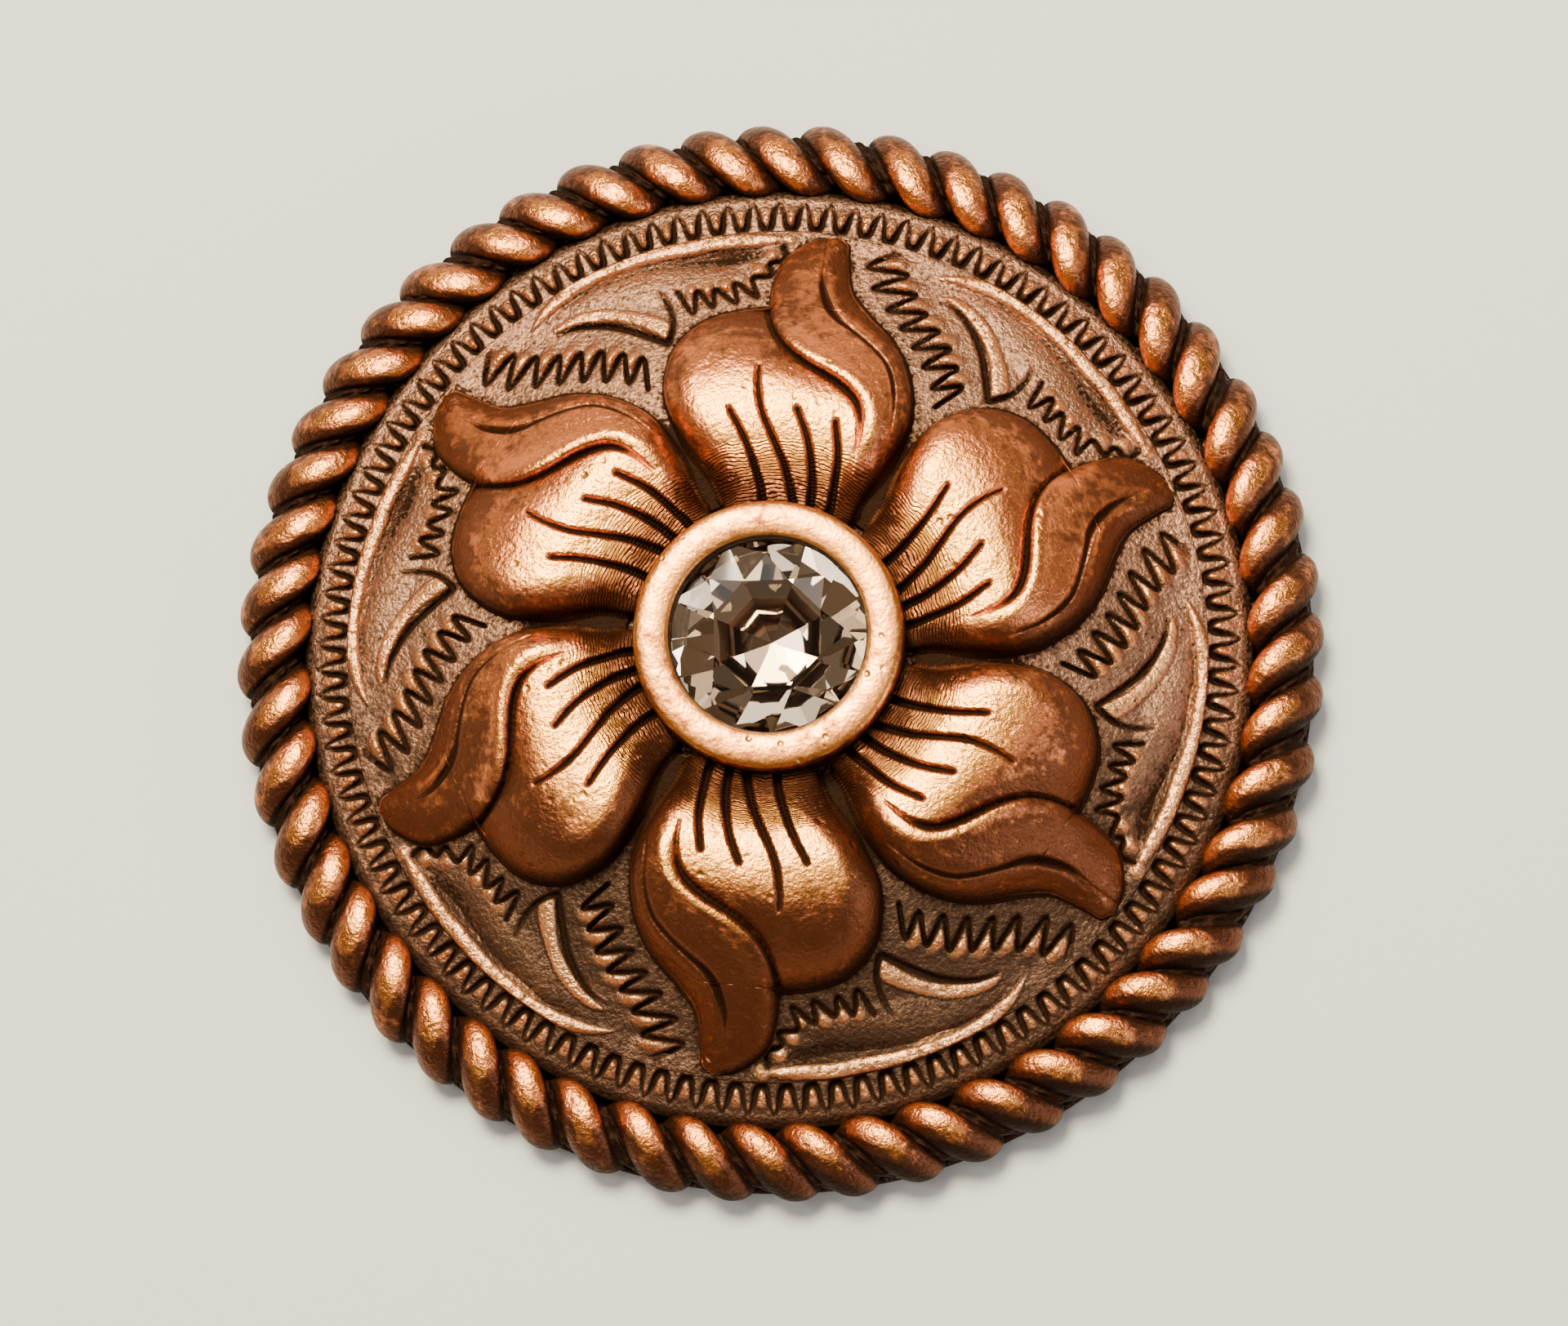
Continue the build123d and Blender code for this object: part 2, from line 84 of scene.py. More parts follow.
# How deep the channel along a curve is at each point, from 0 to 1. The curve's third column is
# its half width, and where that narrows the channel gets shallower in the same proportion.
def channelAlong(x, y, given, steps=8):
    curve = smoothCurve(given, steps)
    distance, along, side = nearCurve(x, y, curve)
    halfWidth = np.interp(along, np.arange(len(curve)), curve[:, 2])
    return channel(distance, halfWidth) * halfWidth / curve[:, 2].max()


# 0 below low, 1 above high, and 3t^2 - 2t^3 between.
def rampUp(value, low, high):
    t = np.clip((value - low) / (high - low), 0, 1)
    return t * t * (3 - 2 * t)


# Rows from the first end to the last one, evenly spaced on each span by that span's count.
def spacedRows(ends, counts):
    spans = zip(ends, ends[1:], counts)
    return np.concatenate([np.linspace(*span, endpoint=span[1] == ends[-1]) for span in spans])


# Points at a distance out, a turn and a height: out times its sine, out times its cosine, height.
def atTurn(out, turn, height):
    return np.stack(np.broadcast_arrays(out * np.sin(turn), out * np.cos(turn), height), -1)


# The rings turned clockwise about the axis: x cos + y sin, y cos - x sin.
def turned(rings, angle):
    x, y, z = np.moveaxis(rings, -1, 0)
    sine, cosine = math.sin(angle), math.cos(angle)
    return np.stack([x * cosine + y * sine, y * cosine - x * sine, z], -1)


# A closed profile of (distance out, height) points carried round the axis.
def revolvedRings(profile, steps):
    turn = np.linspace(0, 2 * np.pi, steps, endpoint=False)[:, None]
    out, up = np.asarray(profile, float).T
    return atTurn(out, turn, up)


# Points spaced evenly along each straight run of a closed profile, with every corner kept.
def denserLoop(profile, spacing):
    profile = np.asarray(profile, float)
    found = []
    for start, stop in zip(profile, np.roll(profile, -1, 0)):
        count = max(1, int(np.ceil(np.hypot(*(stop - start)) / spacing)))
        found.append(start + np.linspace(0, 1, count, endpoint=False)[:, None] * (stop - start))
    return np.vstack(found)


# Painted shade on the lower half of the picture, standing in for light that falls from its top: 0 from
# 4.9 mm above the middle of the picture, and 1 from 12.6 mm below it.
def lowerHalfShade(rings):
    return rampUp(-rings[..., 1], -4.9, 12.6)


# Puts a finished piece in the scene, on the one body, in place of its solid.
def settle(piece, node):
    bpy.context.scene.collection.objects.link(piece)
    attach(piece, "root")
    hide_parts(node)


# A closed solid from a stack of rings, each a closed loop of points in millimetres. Neighbouring
# rings are joined with four-sided faces. The stack closes on itself, or else ends in a fan round
# the middle of each end ring. If the signed volume is negative the faces are turned over.
def ringSolid(name, rings, wrap, shades, material, slotName, node):
    rows, loop = rings.shape[:2]
    index = np.arange(rows * loop).reshape(rows, loop)
    low, high = (index, np.roll(index, -1, 0)) if wrap else (index[:-1], index[1:])
    quads = np.stack([low, np.roll(low, -1, 1), np.roll(high, -1, 1), high], -1).reshape(-1, 4)
    points = rings.reshape(-1, 3)
    # each piece's brown mask starts with the painted shade of the lower half, unless the piece gives its
    # own
    shades = {key: value.reshape(-1) for key, value in {"agedAndShade": lowerHalfShade(rings), **shades}.items()}
    fans = np.zeros((0, 3), int)
    if not wrap:
        points = np.vstack([points, rings[0].mean(0), rings[-1].mean(0)])
        first, last = index[0], index[-1]
        startMid, endMid = np.full(loop, rows * loop), np.full(loop, rows * loop + 1)
        fans = np.vstack([np.stack([np.roll(first, -1), first, startMid], 1),
                          np.stack([last, np.roll(last, -1), endMid], 1)])
        shades = {key: np.concatenate([value, value[:loop].mean()[None], value[-loop:].mean()[None]])
                  for key, value in shades.items()}
    corners = np.vstack([quads[:, :3], quads[:, [0, 2, 3]], fans])
    a, b, c = points[corners[:, 0]], points[corners[:, 1]], points[corners[:, 2]]
    if np.einsum("ij,ij->i", a, np.cross(b, c)).sum() < 0:
        quads, fans = quads[:, ::-1], fans[:, ::-1]
    mesh = bpy.data.meshes.new(name)
    mesh.from_pydata((points * mm).tolist(), [], quads.tolist() + fans.tolist())
    mesh.shade_smooth()
    for key, value in shades.items():
        layer = mesh.attributes.new(key, "FLOAT", "POINT")
        layer.data.foreach_set("value", value.astype(np.float32))
    mesh.materials.append(material)
    settle(bpy.data.objects.new(name, mesh), node)


# Materials

# One value in a material's nodes. Arithmetic on it adds Math nodes.
class Signal:
    def __init__(self, paint, socket):
        self.paint, self.socket = paint, socket

    def math(self, operation, first, second):
        return self.paint.add("ShaderNodeMath", {"operation": operation}, {0: first, 1: second})

    def __add__(self, other):
        return self.math("ADD", self, other)

    def __sub__(self, other):
        return self.math("SUBTRACT", self, other)

    def __rsub__(self, other):
        return self.math("SUBTRACT", other, self)

    def __mul__(self, other):
        return self.math("MULTIPLY", self, other)

    __radd__, __rmul__ = __add__, __mul__

    def sine(self):
        return self.math("SINE", self, 0)

    # 0 below low, 1 above high, smooth between
    def between(self, low, high):
        inputs = {"Value": self, "From Min": low, "From Max": high}
        return self.paint.add("ShaderNodeMapRange", {"interpolation_type": "SMOOTHSTEP"}, inputs)

    # the first colour where this is 0, the second where it is 1
    def mix(self, first, second):
        return self.paint.add("ShaderNodeMix", {"data_type": "RGBA"}, {0: self, 6: first, 7: second}, 2)


# A material's node tree, with one method that adds any node.
class Paint:
    def __init__(self, name):
        self.material = bpy.data.materials.new(name)
        self.material.use_nodes = True
        self.tree = self.material.node_tree
        self.shader = self.tree.nodes["Principled BSDF"]
        self.place = self.add("ShaderNodeTexCoord", {}, {}, "Object")

    def add(self, kind, settings, inputs, output=0):
        node = self.tree.nodes.new(kind)
        for key, value in settings.items():
            setattr(node, key, value)
        self.fill(node, inputs)
        return Signal(self, node.outputs[output])

    def fill(self, node, inputs):
        for key, value in inputs.items():
            if isinstance(value, Signal):
                self.tree.links.new(value.socket, node.inputs[key])
            else:
                colour = isinstance(value, tuple) and len(node.inputs[key].default_value) == 4
                node.inputs[key].default_value = (*value, 1) if colour else value

    # noise whose largest lumps are about size millimetres across
    def noise(self, size, detail=3, rough=0.55):
        inputs = {"Vector": self.place, "Scale": 1 / (size * mm), "Detail": detail, "Roughness": rough}
        return self.add("ShaderNodeTexNoise", {}, inputs)

    # noise drawn out: squeezed by these numbers along x, y and z before it is looked up
    def streaks(self, size, squeeze):
        squeezed = self.add("ShaderNodeMapping", {}, {"Vector": self.place, "Scale": squeeze})
        inputs = {"Vector": squeezed, "Scale": 1 / (size * mm), "Detail": 2, "Roughness": 0.5}
        return self.add("ShaderNodeTexNoise", {}, inputs)

    # distance from the middle of the nearest cell, cells about size millimetres across
    def cells(self, size):
        inputs = {"Vector": self.place, "Scale": 1 / (size * mm), "Randomness": 1}
        return self.add("ShaderNodeTexVoronoi", {"feature": "F1"}, inputs, "Distance")

    # distance from the axis: the length of the place with its height taken off
    def distanceOut(self):
        flat = self.add("ShaderNodeVectorMath", {"operation": "MULTIPLY"}, {0: self.place, 1: (1, 1, 0)})
        return self.add("ShaderNodeVectorMath", {"operation": "LENGTH"}, {0: flat}, "Value")

    def shade(self, name):
        return self.add("ShaderNodeAttribute", {"attribute_name": name}, {}, "Fac")

    def bump(self, height, depth):
        inputs = {"Height": height, "Distance": depth * mm, "Strength": 1.0}
        return self.add("ShaderNodeBump", {}, inputs)


# What the copper finishes have in common. Edges say where a mask starts and where it is full.
copperLook = {
    "grainSize": 0.12, "grainBase": -0.05, "lumpBrown": 0.5, "speckBright": 0.7, "grainBright": 0.4,
    "brownMatte": 0.1, "darkRough": 0.3, "pitCore": 0.05, "patchPerPit": 3, "patchEdges": (0.5, 0.62),
    "darkEdges": (0.08, 0.85), "brownEdges": (0.35, 0.9), "brightEdges": (0.2, 0.9),
}


# Fine lines round the axis: the sine of the distance out, a little wavy, fading past a radius.
def fileLines(paint, lump, look):
    out = paint.distanceOut()
    lines = (out * (2 * math.pi / (look["fileSpacing"] * mm)) + lump * look["fileWander"]).sine()
    return lines * (1 - out.between(look["fileReach"] * mm, (look["fileReach"] + 1) * mm))


# Antiqued copper. Dark patina fills the hollows and specks the grain, brown clouds and mottles lie
# over the rest, and the raised places that a hand rubs are bright. Three masks, 0 to 1, are painted
# on the mesh: the dark one is patina in the hollows together with painted shade, the brown one is
# ageing together with painted shade, and the bright one is rubbing together with painted highlight
# on the petals. A look with a file depth gets file lines near the middle.
def copperPaint(name, pieceLook):
    look = {**copperLook, **pieceLook}
    paint = Paint(name)
    hollow, rubAndHighlight, agedAndShade = paint.shade("hollow"), paint.shade("rubAndHighlight"), paint.shade("agedAndShade")
    cloud, grain = paint.noise(look["cloudSize"], 5), paint.noise(look["grainSize"], 3)
    speck, lump = paint.noise(look["speckSize"], 4, 0.6), paint.noise(look["lumpSize"], 3)
    dark = hollow * look["hollowDark"] + (grain - 0.5) * look["grainDark"] + look["grainBase"]
    dark = dark.between(*look["darkEdges"])
    brown = cloud + (speck - 0.5) * look["speckBrown"] + (lump - 0.5) * look["lumpBrown"]
    brown = brown + agedAndShade * look["agedAndShadeShare"] + look["brownShare"] - rubAndHighlight * look["rubClears"]
    brown = brown.between(*look["brownEdges"])
    bright = rubAndHighlight + (speck - 0.5) * look["speckBright"] + (grain - 0.5) * look["grainBright"]
    bright = bright.between(*look["brightEdges"])
    shine = bright * (1 - brown * look["brownStays"]) * look["brightShare"]
    colour = shine.mix(brown.mix(look["copper"], look["brown"]), look["bright"])
    patch = paint.noise(look["pitSize"] * look["patchPerPit"], 1).between(*look["patchEdges"])
    pits = (1 - paint.cells(look["pitSize"]).between(look["pitCore"], look["pitWidth"])) * patch
    relief = grain * look["grainDepth"] + speck * look["speckDepth"] + lump * look["lumpDepth"]
    if "fileDepth" in look:
        relief = relief + fileLines(paint, lump, look) * look["fileDepth"]
    relief = relief - pits * look["pitDepth"]
    roughness = look["rough"] + brown * look["brownRough"] + dark * look["darkRough"]
    paint.fill(paint.shader, {
        "Base Color": dark.mix(colour, look["black"]),
        "Metallic": 1 - dark * look["darkMatte"] - brown * look["brownMatte"],
        "Roughness": roughness + (speck - 0.5) * look["roughVary"] - bright * look["rubGloss"],
        "Specular IOR Level": look["patinaSheen"],
        "Normal": paint.bump(relief, look["reliefDepth"]),
    })
    return paint.material


# The plate

plateLook = {
    "copper": (0.375, 0.183, 0.112), "brown": (0.09, 0.047, 0.03),
    "bright": (0.95, 0.45, 0.2), "black": (0.024, 0.01, 0.005),
    "cloudSize": 5.0, "grainSize": 0.13, "speckSize": 0.32, "lumpSize": 0.8,
    "hollowDark": 1.05, "grainDark": 2.4, "grainBase": 0.18, "darkMatte": 0.5,
    "speckBrown": 0.7, "brownShare": -0.12, "agedAndShadeShare": 0.58, "brownStays": 0.2, "brownRough": 0.08,
    "rubClears": 0.5, "brightShare": 0.95, "rubGloss": 0.12,
    "rough": 0.42, "roughVary": 0.2, "patinaSheen": 0.05,
    "pitSize": 0.6, "pitWidth": 0.3, "pitDepth": 0.3,
    "grainDepth": 1.5, "speckDepth": 0.7, "lumpDepth": 0.3, "reliefDepth": 0.05,
}
plateKind = (copperPaint("sandedCopper", plateLook), "plate_copper", "base_plate")

domeTable = [
    (3.3, 4.2), (4.0, 4.2), (5.75, 4.158), (7.51, 3.801), (9.01, 3.297), (10.13, 2.8), (11.01, 2.398),
    (11.88, 2.058), (12.51, 1.911), (13.71, 1.6),
]
domeCurve = smoothCurve(domeTable)


# Height of the plain front: the smooth curve through the dome's table.
def plateTop(radius):
    return np.interp(radius, domeCurve[:, 0], domeCurve[:, 1])


bodyLook = {
    "frontSpan": (3.35, 13.5), "frontRows": 30, "sink": 0.32, "spacing": 0.6, "steps": 240,
    "domeFoot": 1.5, "domeHollow": 0.3, "footHollow": 0.55, "brimRub": 0.25, "brimEdges": (15.3, 15.6),
}
flangeAndBack = [
    (13.64, 1.28), (13.66, 0.66), (13.74, 0.6), (15.52, 0.6), (15.6, 0.52), (15.6, 0.08), (15.52, 0.0),
    (12.7, 0.0), (12.62, 0.06), (12.6, 0.3), (12.2, 1.02), (11.88, 1.158), (11.01, 1.498), (10.13, 1.9),
    (9.01, 2.397), (7.51, 2.901), (5.75, 3.258), (3.35, 3.3),
]


# The dome, sunk under the relief that covers it, with the flange and the hollow back, carried
# round the axis. Patina is thicker below the dome's foot, and the brim is rubbed a little.
def bodyRings():
    look = bodyLook
    front = np.linspace(*look["frontSpan"], look["frontRows"])
    profile = [*zip(front, plateTop(front) - look["sink"]), *flangeAndBack]
    rings = revolvedRings(denserLoop(profile, look["spacing"]), look["steps"])
    hollow = np.where(rings[..., 2] < look["domeFoot"], look["footHollow"], look["domeHollow"])
    rubAndHighlight = look["brimRub"] * rampUp(np.hypot(rings[..., 0], rings[..., 1]), *look["brimEdges"])
    return rings, {"hollow": hollow, "rubAndHighlight": rubAndHighlight}


rings, shades = bodyRings()
ringSolid("plateBody", rings, True, shades, *plateKind)
print("plate body done")

# The border: round tongues that point inwards, with a groove that runs to and fro between them.
borderLook = {
    "teeth": 110, "pitchRadius": 13.1, "columns": 20, "rows": 30, "inner": 12.4, "outer": 13.84,
    "underside": [(13.78, 1.1), (13.0, 1.3), (12.4, 1.5)], "uneven": 0.18, "grooveDepth": 0.26,
    "tongueRise": 0.1, "tongueWidth": 0.17, "tongueTip": (12.7, 12.86), "tongueRoot": (13.1, 13.42),
    "beadRise": 0.07, "beadWidth": 0.11, "beadLength": 0.15, "beadOut": 12.9,
    "knobShare": 0.6, "knobWidth": 0.1, "knobLength": 0.12, "knobOut": 13.25,
    "rimFall": 0.35, "rimEdges": (13.48, 14.1), "ropeShadowEdges": (13.5, 13.84),
}
toothPitch = 2 * np.pi * borderLook["pitchRadius"] / borderLook["teeth"]
toothGroove = np.array([
    (-0.5, 13.46, 0.045), (-0.37, 13.28, 0.055), (-0.28, 13.05, 0.07), (-0.24, 12.85, 0.085),
    (-0.16, 12.68, 0.1), (0.0, 12.61, 0.11), (0.16, 12.68, 0.115), (0.24, 12.85, 0.115),
    (0.28, 13.05, 0.1), (0.37, 13.28, 0.07), (0.5, 13.46, 0.045),
])


# Relief of one tooth over (across, out): a channel along the hairpin line, a soft tongue inside
# it, a bead on the tongue's tip and a smaller knob between two teeth. It is worked out once and
# repeated round the ring, whose outer rim falls off smoothly towards the rope and darkens there
# with a painted shadow of the rope.
def borderRings():
    look, columns, teeth = borderLook, borderLook["columns"], borderLook["teeth"]
    out = np.linspace(look["inner"], look["outer"], look["rows"])
    across = (np.arange(columns) / columns - 0.5) * toothPitch
    x, r = np.meshgrid(across, out, indexing="ij")
    line = toothGroove * (toothPitch, 1, 1)
    groove = np.max([channelAlong(x, r, line + (shift * toothPitch, 0, 0), 6) for shift in (-1, 0, 1)], 0)
    tongue = rampUp(r, *look["tongueTip"]) * (1 - rampUp(r, *look["tongueRoot"]))
    tongue = swell(x, look["tongueWidth"]) * tongue
    bead = swell(x, look["beadWidth"]) * swell(r - look["beadOut"], look["beadLength"])
    knob = swell(np.abs(x) - toothPitch / 2, look["knobWidth"])
    knob = knob * swell(r - look["knobOut"], look["knobLength"])
    relief = look["tongueRise"] * tongue + look["beadRise"] * (bead + look["knobShare"] * knob)
    relief = relief - look["grooveDepth"] * groove
    vary = 1 + look["uneven"] * np.random.default_rng(4).uniform(-1, 1, (teeth, 1, 1))
    relief = (relief[None] * vary).reshape(teeth * columns, -1)
    top = plateTop(out) + relief - look["rimFall"] * rampUp(out, *look["rimEdges"])
    underOut, underUp = (np.tile(value, (len(top), 1)) for value in np.transpose(look["underside"]))
    radius = np.hstack([np.broadcast_to(out, top.shape), underOut])
    turn = np.linspace(0, 2 * np.pi, len(top), endpoint=False)[:, None]
    # the dark mask: patina in the groove, and a painted shadow of the rope over the outer rim
    hollow = np.clip(1.4 * groove + 0.8 * rampUp(r, *look["ropeShadowEdges"]), 0, 1)
    rubAndHighlight = np.clip(0.75 * tongue * (1 - groove) + bead + 0.5 * knob, 0, 1) * (1 - groove)
    hollow, rubAndHighlight = np.tile(hollow, (teeth, 1)), np.tile(rubAndHighlight, (teeth, 1))
    shades = {"hollow": np.hstack([hollow, 0 * underOut + 0.8]), "rubAndHighlight": np.hstack([rubAndHighlight, 0 * underOut])}
    return atTurn(radius, turn, np.hstack([top, underUp])), shades


rings, shades = borderRings()
ringSolid("plateBorder", rings, True, shades, *plateKind)
print("border done:", borderLook["teeth"], "teeth")

# Outline of the petal that points along +Y, shared by petals and field

reach = 12.46
lobeEdge = [
    (-0.09, 0.255), (-0.108, 0.316), (-0.14, 0.388), (-0.2, 0.472), (-0.244, 0.556), (-0.25, 0.632),
    (-0.228, 0.708), (-0.168, 0.768), (-0.088, 0.7945), (-0.012, 0.802),
]
flameEdge = [(-0.012, 0.802), (-0.004, 0.872), (0.02, 0.932), (0.08, 0.976), (0.14, 0.99)]
rightEdge = [
    (0.16, 0.22), (0.2, 0.308), (0.26, 0.4), (0.308, 0.484), (0.32, 0.552), (0.31, 0.636),
    (0.276, 0.712), (0.216, 0.784), (0.176, 0.848), (0.166, 0.928), (0.164, 0.968), (0.14, 0.99),
]
leftCurve = np.vstack([smoothCurve(lobeEdge), smoothCurve(flameEdge)]) * reach
rightCurve = smoothCurve(rightEdge) * reach
outlineCurve = np.vstack([leftCurve, rightCurve[::-1]])


# Clockwise angle of a curve at each distance out, read between its points in order of distance.
def angleAt(curve, radius):
    out = np.hypot(curve[:, 0], curve[:, 1])
    order = np.argsort(out, kind="stable")
    return np.interp(radius, out[order], np.arctan2(curve[:, 0], curve[:, 1])[order])


# The field with its leaf work, one sixth at a time

fieldLook = {
    "across": 190, "rowEnds": (4.2, 7.0, 12.56), "rowCounts": (22, 108), "thickness": 0.36,
    "longWidth": 0.085, "shortWidth": 0.08, "grooveDepth": 0.26, "curlShare": 0.9, "hookShare": 0.85,
    "arcDepth": 0.17, "ridgeRise": 0.2, "bladeRise": 0.14, "beadRise": 0.18,
    "tongueRise": 0.26, "tongueLength": 0.36, "tongueWidth": 0.17, "tongueSlant": 0.12,
    "shadowWidth": 0.2, "gapEdges": (6.3, 7.6),
}
# The slab's two sides as (distance out, degrees).
fieldLeft = [
    (4.2, 31.0), (5.75, 31.5), (6.9, 31.0), (7.8, 29.0), (8.8, 25.0), (9.5, 20.2), (10.1, 14.6),
    (10.8, 10.9), (11.75, 9.3), (12.24, 8.8), (12.46, 7.6), (12.56, 7.5),
]
fieldRight = [
    (4.2, 42.0), (5.75, 39.4), (7.0, 39.6), (8.0, 43.5), (9.0, 50.5), (10.0, 60.0), (11.0, 61.3),
    (12.0, 65.0), (12.46, 67.9), (12.56, 68.0),
]
longZigzag = [
    (3.55, 11.85), (2.65, 11.42), (3.8, 11.15), (2.82, 10.72), (4.05, 10.5), (3.25, 10.02), (4.38, 9.9),
    (3.65, 9.42), (4.75, 9.37), (4.03, 8.82), (5.08, 8.82), (4.33, 8.2), (5.3, 8.2), (4.6, 7.55),
    (5.45, 7.6), (4.7, 6.95),
]
shortZigzag = [
    (7.75, 7.85), (7.4, 7.08), (8.05, 7.35), (7.85, 6.68), (8.35, 6.9), (8.3, 6.15), (8.82, 6.5),
    (8.75, 5.7), (9.2, 6.15), (9.55, 5.72), (9.85, 5.95), (10.2, 5.65), (10.55, 5.9),
]
arcRidge = [
    (4.7, 11.05, 0.03), (5.3, 11.0, 0.13), (6.0, 10.8, 0.2), (6.46, 10.63, 0.23), (7.13, 10.24, 0.23),
    (7.64, 9.83, 0.23), (8.15, 9.37, 0.23), (8.67, 8.81, 0.23), (9.18, 8.19, 0.23), (9.59, 7.73, 0.23),
    (9.95, 7.22, 0.22), (10.3, 6.68, 0.2), (10.62, 6.15, 0.12),
]
arcGroove = [
    (4.9, 10.78, 0.04), (5.5, 10.72, 0.1), (6.0, 10.55, 0.13), (6.5, 10.3, 0.15), (7.0, 9.95, 0.16),
    (7.5, 9.55, 0.17), (8.0, 9.08, 0.19), (8.5, 8.5, 0.24), (9.0, 7.85, 0.34), (9.4, 7.25, 0.4),
    (9.85, 6.6, 0.28), (10.15, 6.25, 0.12),
]
curlRidge = [
    (5.0, 10.42, 0.06), (5.4, 10.15, 0.15), (5.75, 9.8, 0.19), (6.05, 9.4, 0.2), (6.3, 8.9, 0.2),
    (6.45, 8.4, 0.21), (6.52, 7.95, 0.25), (6.53, 7.6, 0.27), (6.45, 7.42, 0.2),
]
curlGroove = [
    (4.9, 10.3, 0.05), (5.3, 10.0, 0.09), (5.6, 9.6, 0.11), (5.85, 9.1, 0.12), (6.0, 8.6, 0.12),
    (6.1, 8.0, 0.12), (6.2, 7.2, 0.12),
]
hookGroove = [
    (6.3, 7.2, 0.12), (6.7, 7.35, 0.11), (7.0, 7.55, 0.1), (7.25, 7.85, 0.09), (7.45, 8.2, 0.07),
    (7.5, 8.38, 0.04),
]
bladeSpine = [
    (5.9, 10.15, 0.3), (6.5, 9.7, 0.5), (7.1, 9.0, 0.6), (7.7, 8.3, 0.6), (8.3, 7.4, 0.5), (8.9, 6.6, 0.35),
]
tongueSpots = [
    (3.5, 11.45), (3.7, 10.78), (4.05, 10.17), (4.48, 9.62), (4.82, 9.06), (5.06, 8.42), (5.22, 7.85),
]
beadSpots = [
    (8.22, 7.08, 0.16), (8.58, 6.68, 0.17), (9.0, 6.15, 0.15), (9.5, 6.13, 0.19), (10.1, 6.05, 0.2),
    (10.8, 5.85, 0.21), (7.95, 7.45, 0.15),
]


# Height and shades of the field over (x, y): the dome, less channels along the leaf grooves and
# zigzags, plus soft ridges along the leaf's rim and curl, a swell down the blade, and small
# oval tongues and beads. Near a petal the dark mask rises: a painted shadow at the petal's foot.
def fieldRelief(x, y):
    look, radius = fieldLook, np.hypot(x, y)
    zigzags = ((longZigzag, look["longWidth"]), (shortZigzag, look["shortWidth"]))
    zigzag = np.max([channelAlong(x, y, np.insert(line, 2, width, 1), 6) for line, width in zigzags], 0)
    curlHollow, hookHollow = channelAlong(x, y, curlGroove), channelAlong(x, y, hookGroove)
    grooves = np.max([zigzag, look["curlShare"] * curlHollow, look["hookShare"] * hookHollow], 0)
    ridges = np.maximum(channelAlong(x, y, arcRidge), channelAlong(x, y, curlRidge)) ** 0.25
    arcHollow = channelAlong(x, y, arcGroove) * (1 - ridges)
    blade = channelAlong(x, y, bladeSpine)
    tongues = np.max([swell(x - tx, look["tongueLength"])
                      * swell(y - ty + look["tongueSlant"] * (x - tx), look["tongueWidth"])
                      for tx, ty in tongueSpots], 0)
    beads = np.max([swell(np.hypot(x - bx, y - by), size) for bx, by, size in beadSpots], 0)
    relief = (look["ridgeRise"] * ridges + look["bladeRise"] * blade
              + (look["tongueRise"] * tongues + look["beadRise"] * beads) * (1 - zigzag)
              - look["grooveDepth"] * grooves - look["arcDepth"] * arcHollow)
    nextLeft = turned(np.insert(leftCurve, 2, 0, 1), sixths[1])
    toPetal = np.minimum(nearCurve(x, y, rightCurve)[0], nearCurve(x, y, nextLeft)[0])
    inGap = 1 - rampUp(radius, *look["gapEdges"])
    # the dark mask: patina in grooves and hollows and in the root gap, and a painted shadow along the
    # petals' feet
    hollow = 1.2 * grooves + 0.8 * arcHollow + 0.55 * swell(toPetal, look["shadowWidth"]) + inGap
    rubAndHighlight = np.clip(1.2 * ridges + 1.3 * tongues + 1.2 * beads + 0.3 * blade, 0, 1)
    return plateTop(radius) + relief, np.clip(hollow, 0, 1), rubAndHighlight * (1 - grooves) * (1 - inGap)


# A fan-shaped slab between two petals: rows at growing distance out, each from one petal's edge
# to the next one's, with the relief on top and a plain underside.
def fieldRings():
    radius = spacedRows(fieldLook["rowEnds"], fieldLook["rowCounts"])
    share = np.linspace(0, 1, fieldLook["across"])
    left, right = (np.radians(np.interp(radius, *zip(*edge)))[:, None] for edge in (fieldLeft, fieldRight))
    angle = left + share * (right - left)
    x, y = radius[:, None] * np.sin(angle), radius[:, None] * np.cos(angle)
    top, hollow, rubAndHighlight = fieldRelief(x, y)
    x, y, hollow, rubAndHighlight = (np.hstack([value, value[:, -1:], value[:, :1]]) for value in (x, y, hollow, rubAndHighlight))
    under = np.repeat(plateTop(radius)[:, None] - fieldLook["thickness"], 2, 1)
    return np.stack([x, y, np.hstack([top, under])], -1), {"hollow": hollow, "rubAndHighlight": rubAndHighlight}


rings, shades = fieldRings()
for k, turn in enumerate(sixths):
    ringSolid(f"plateField{k}", turned(rings, turn), False, shades, *plateKind)
print("field done: six leaves between the petals")

# The rope

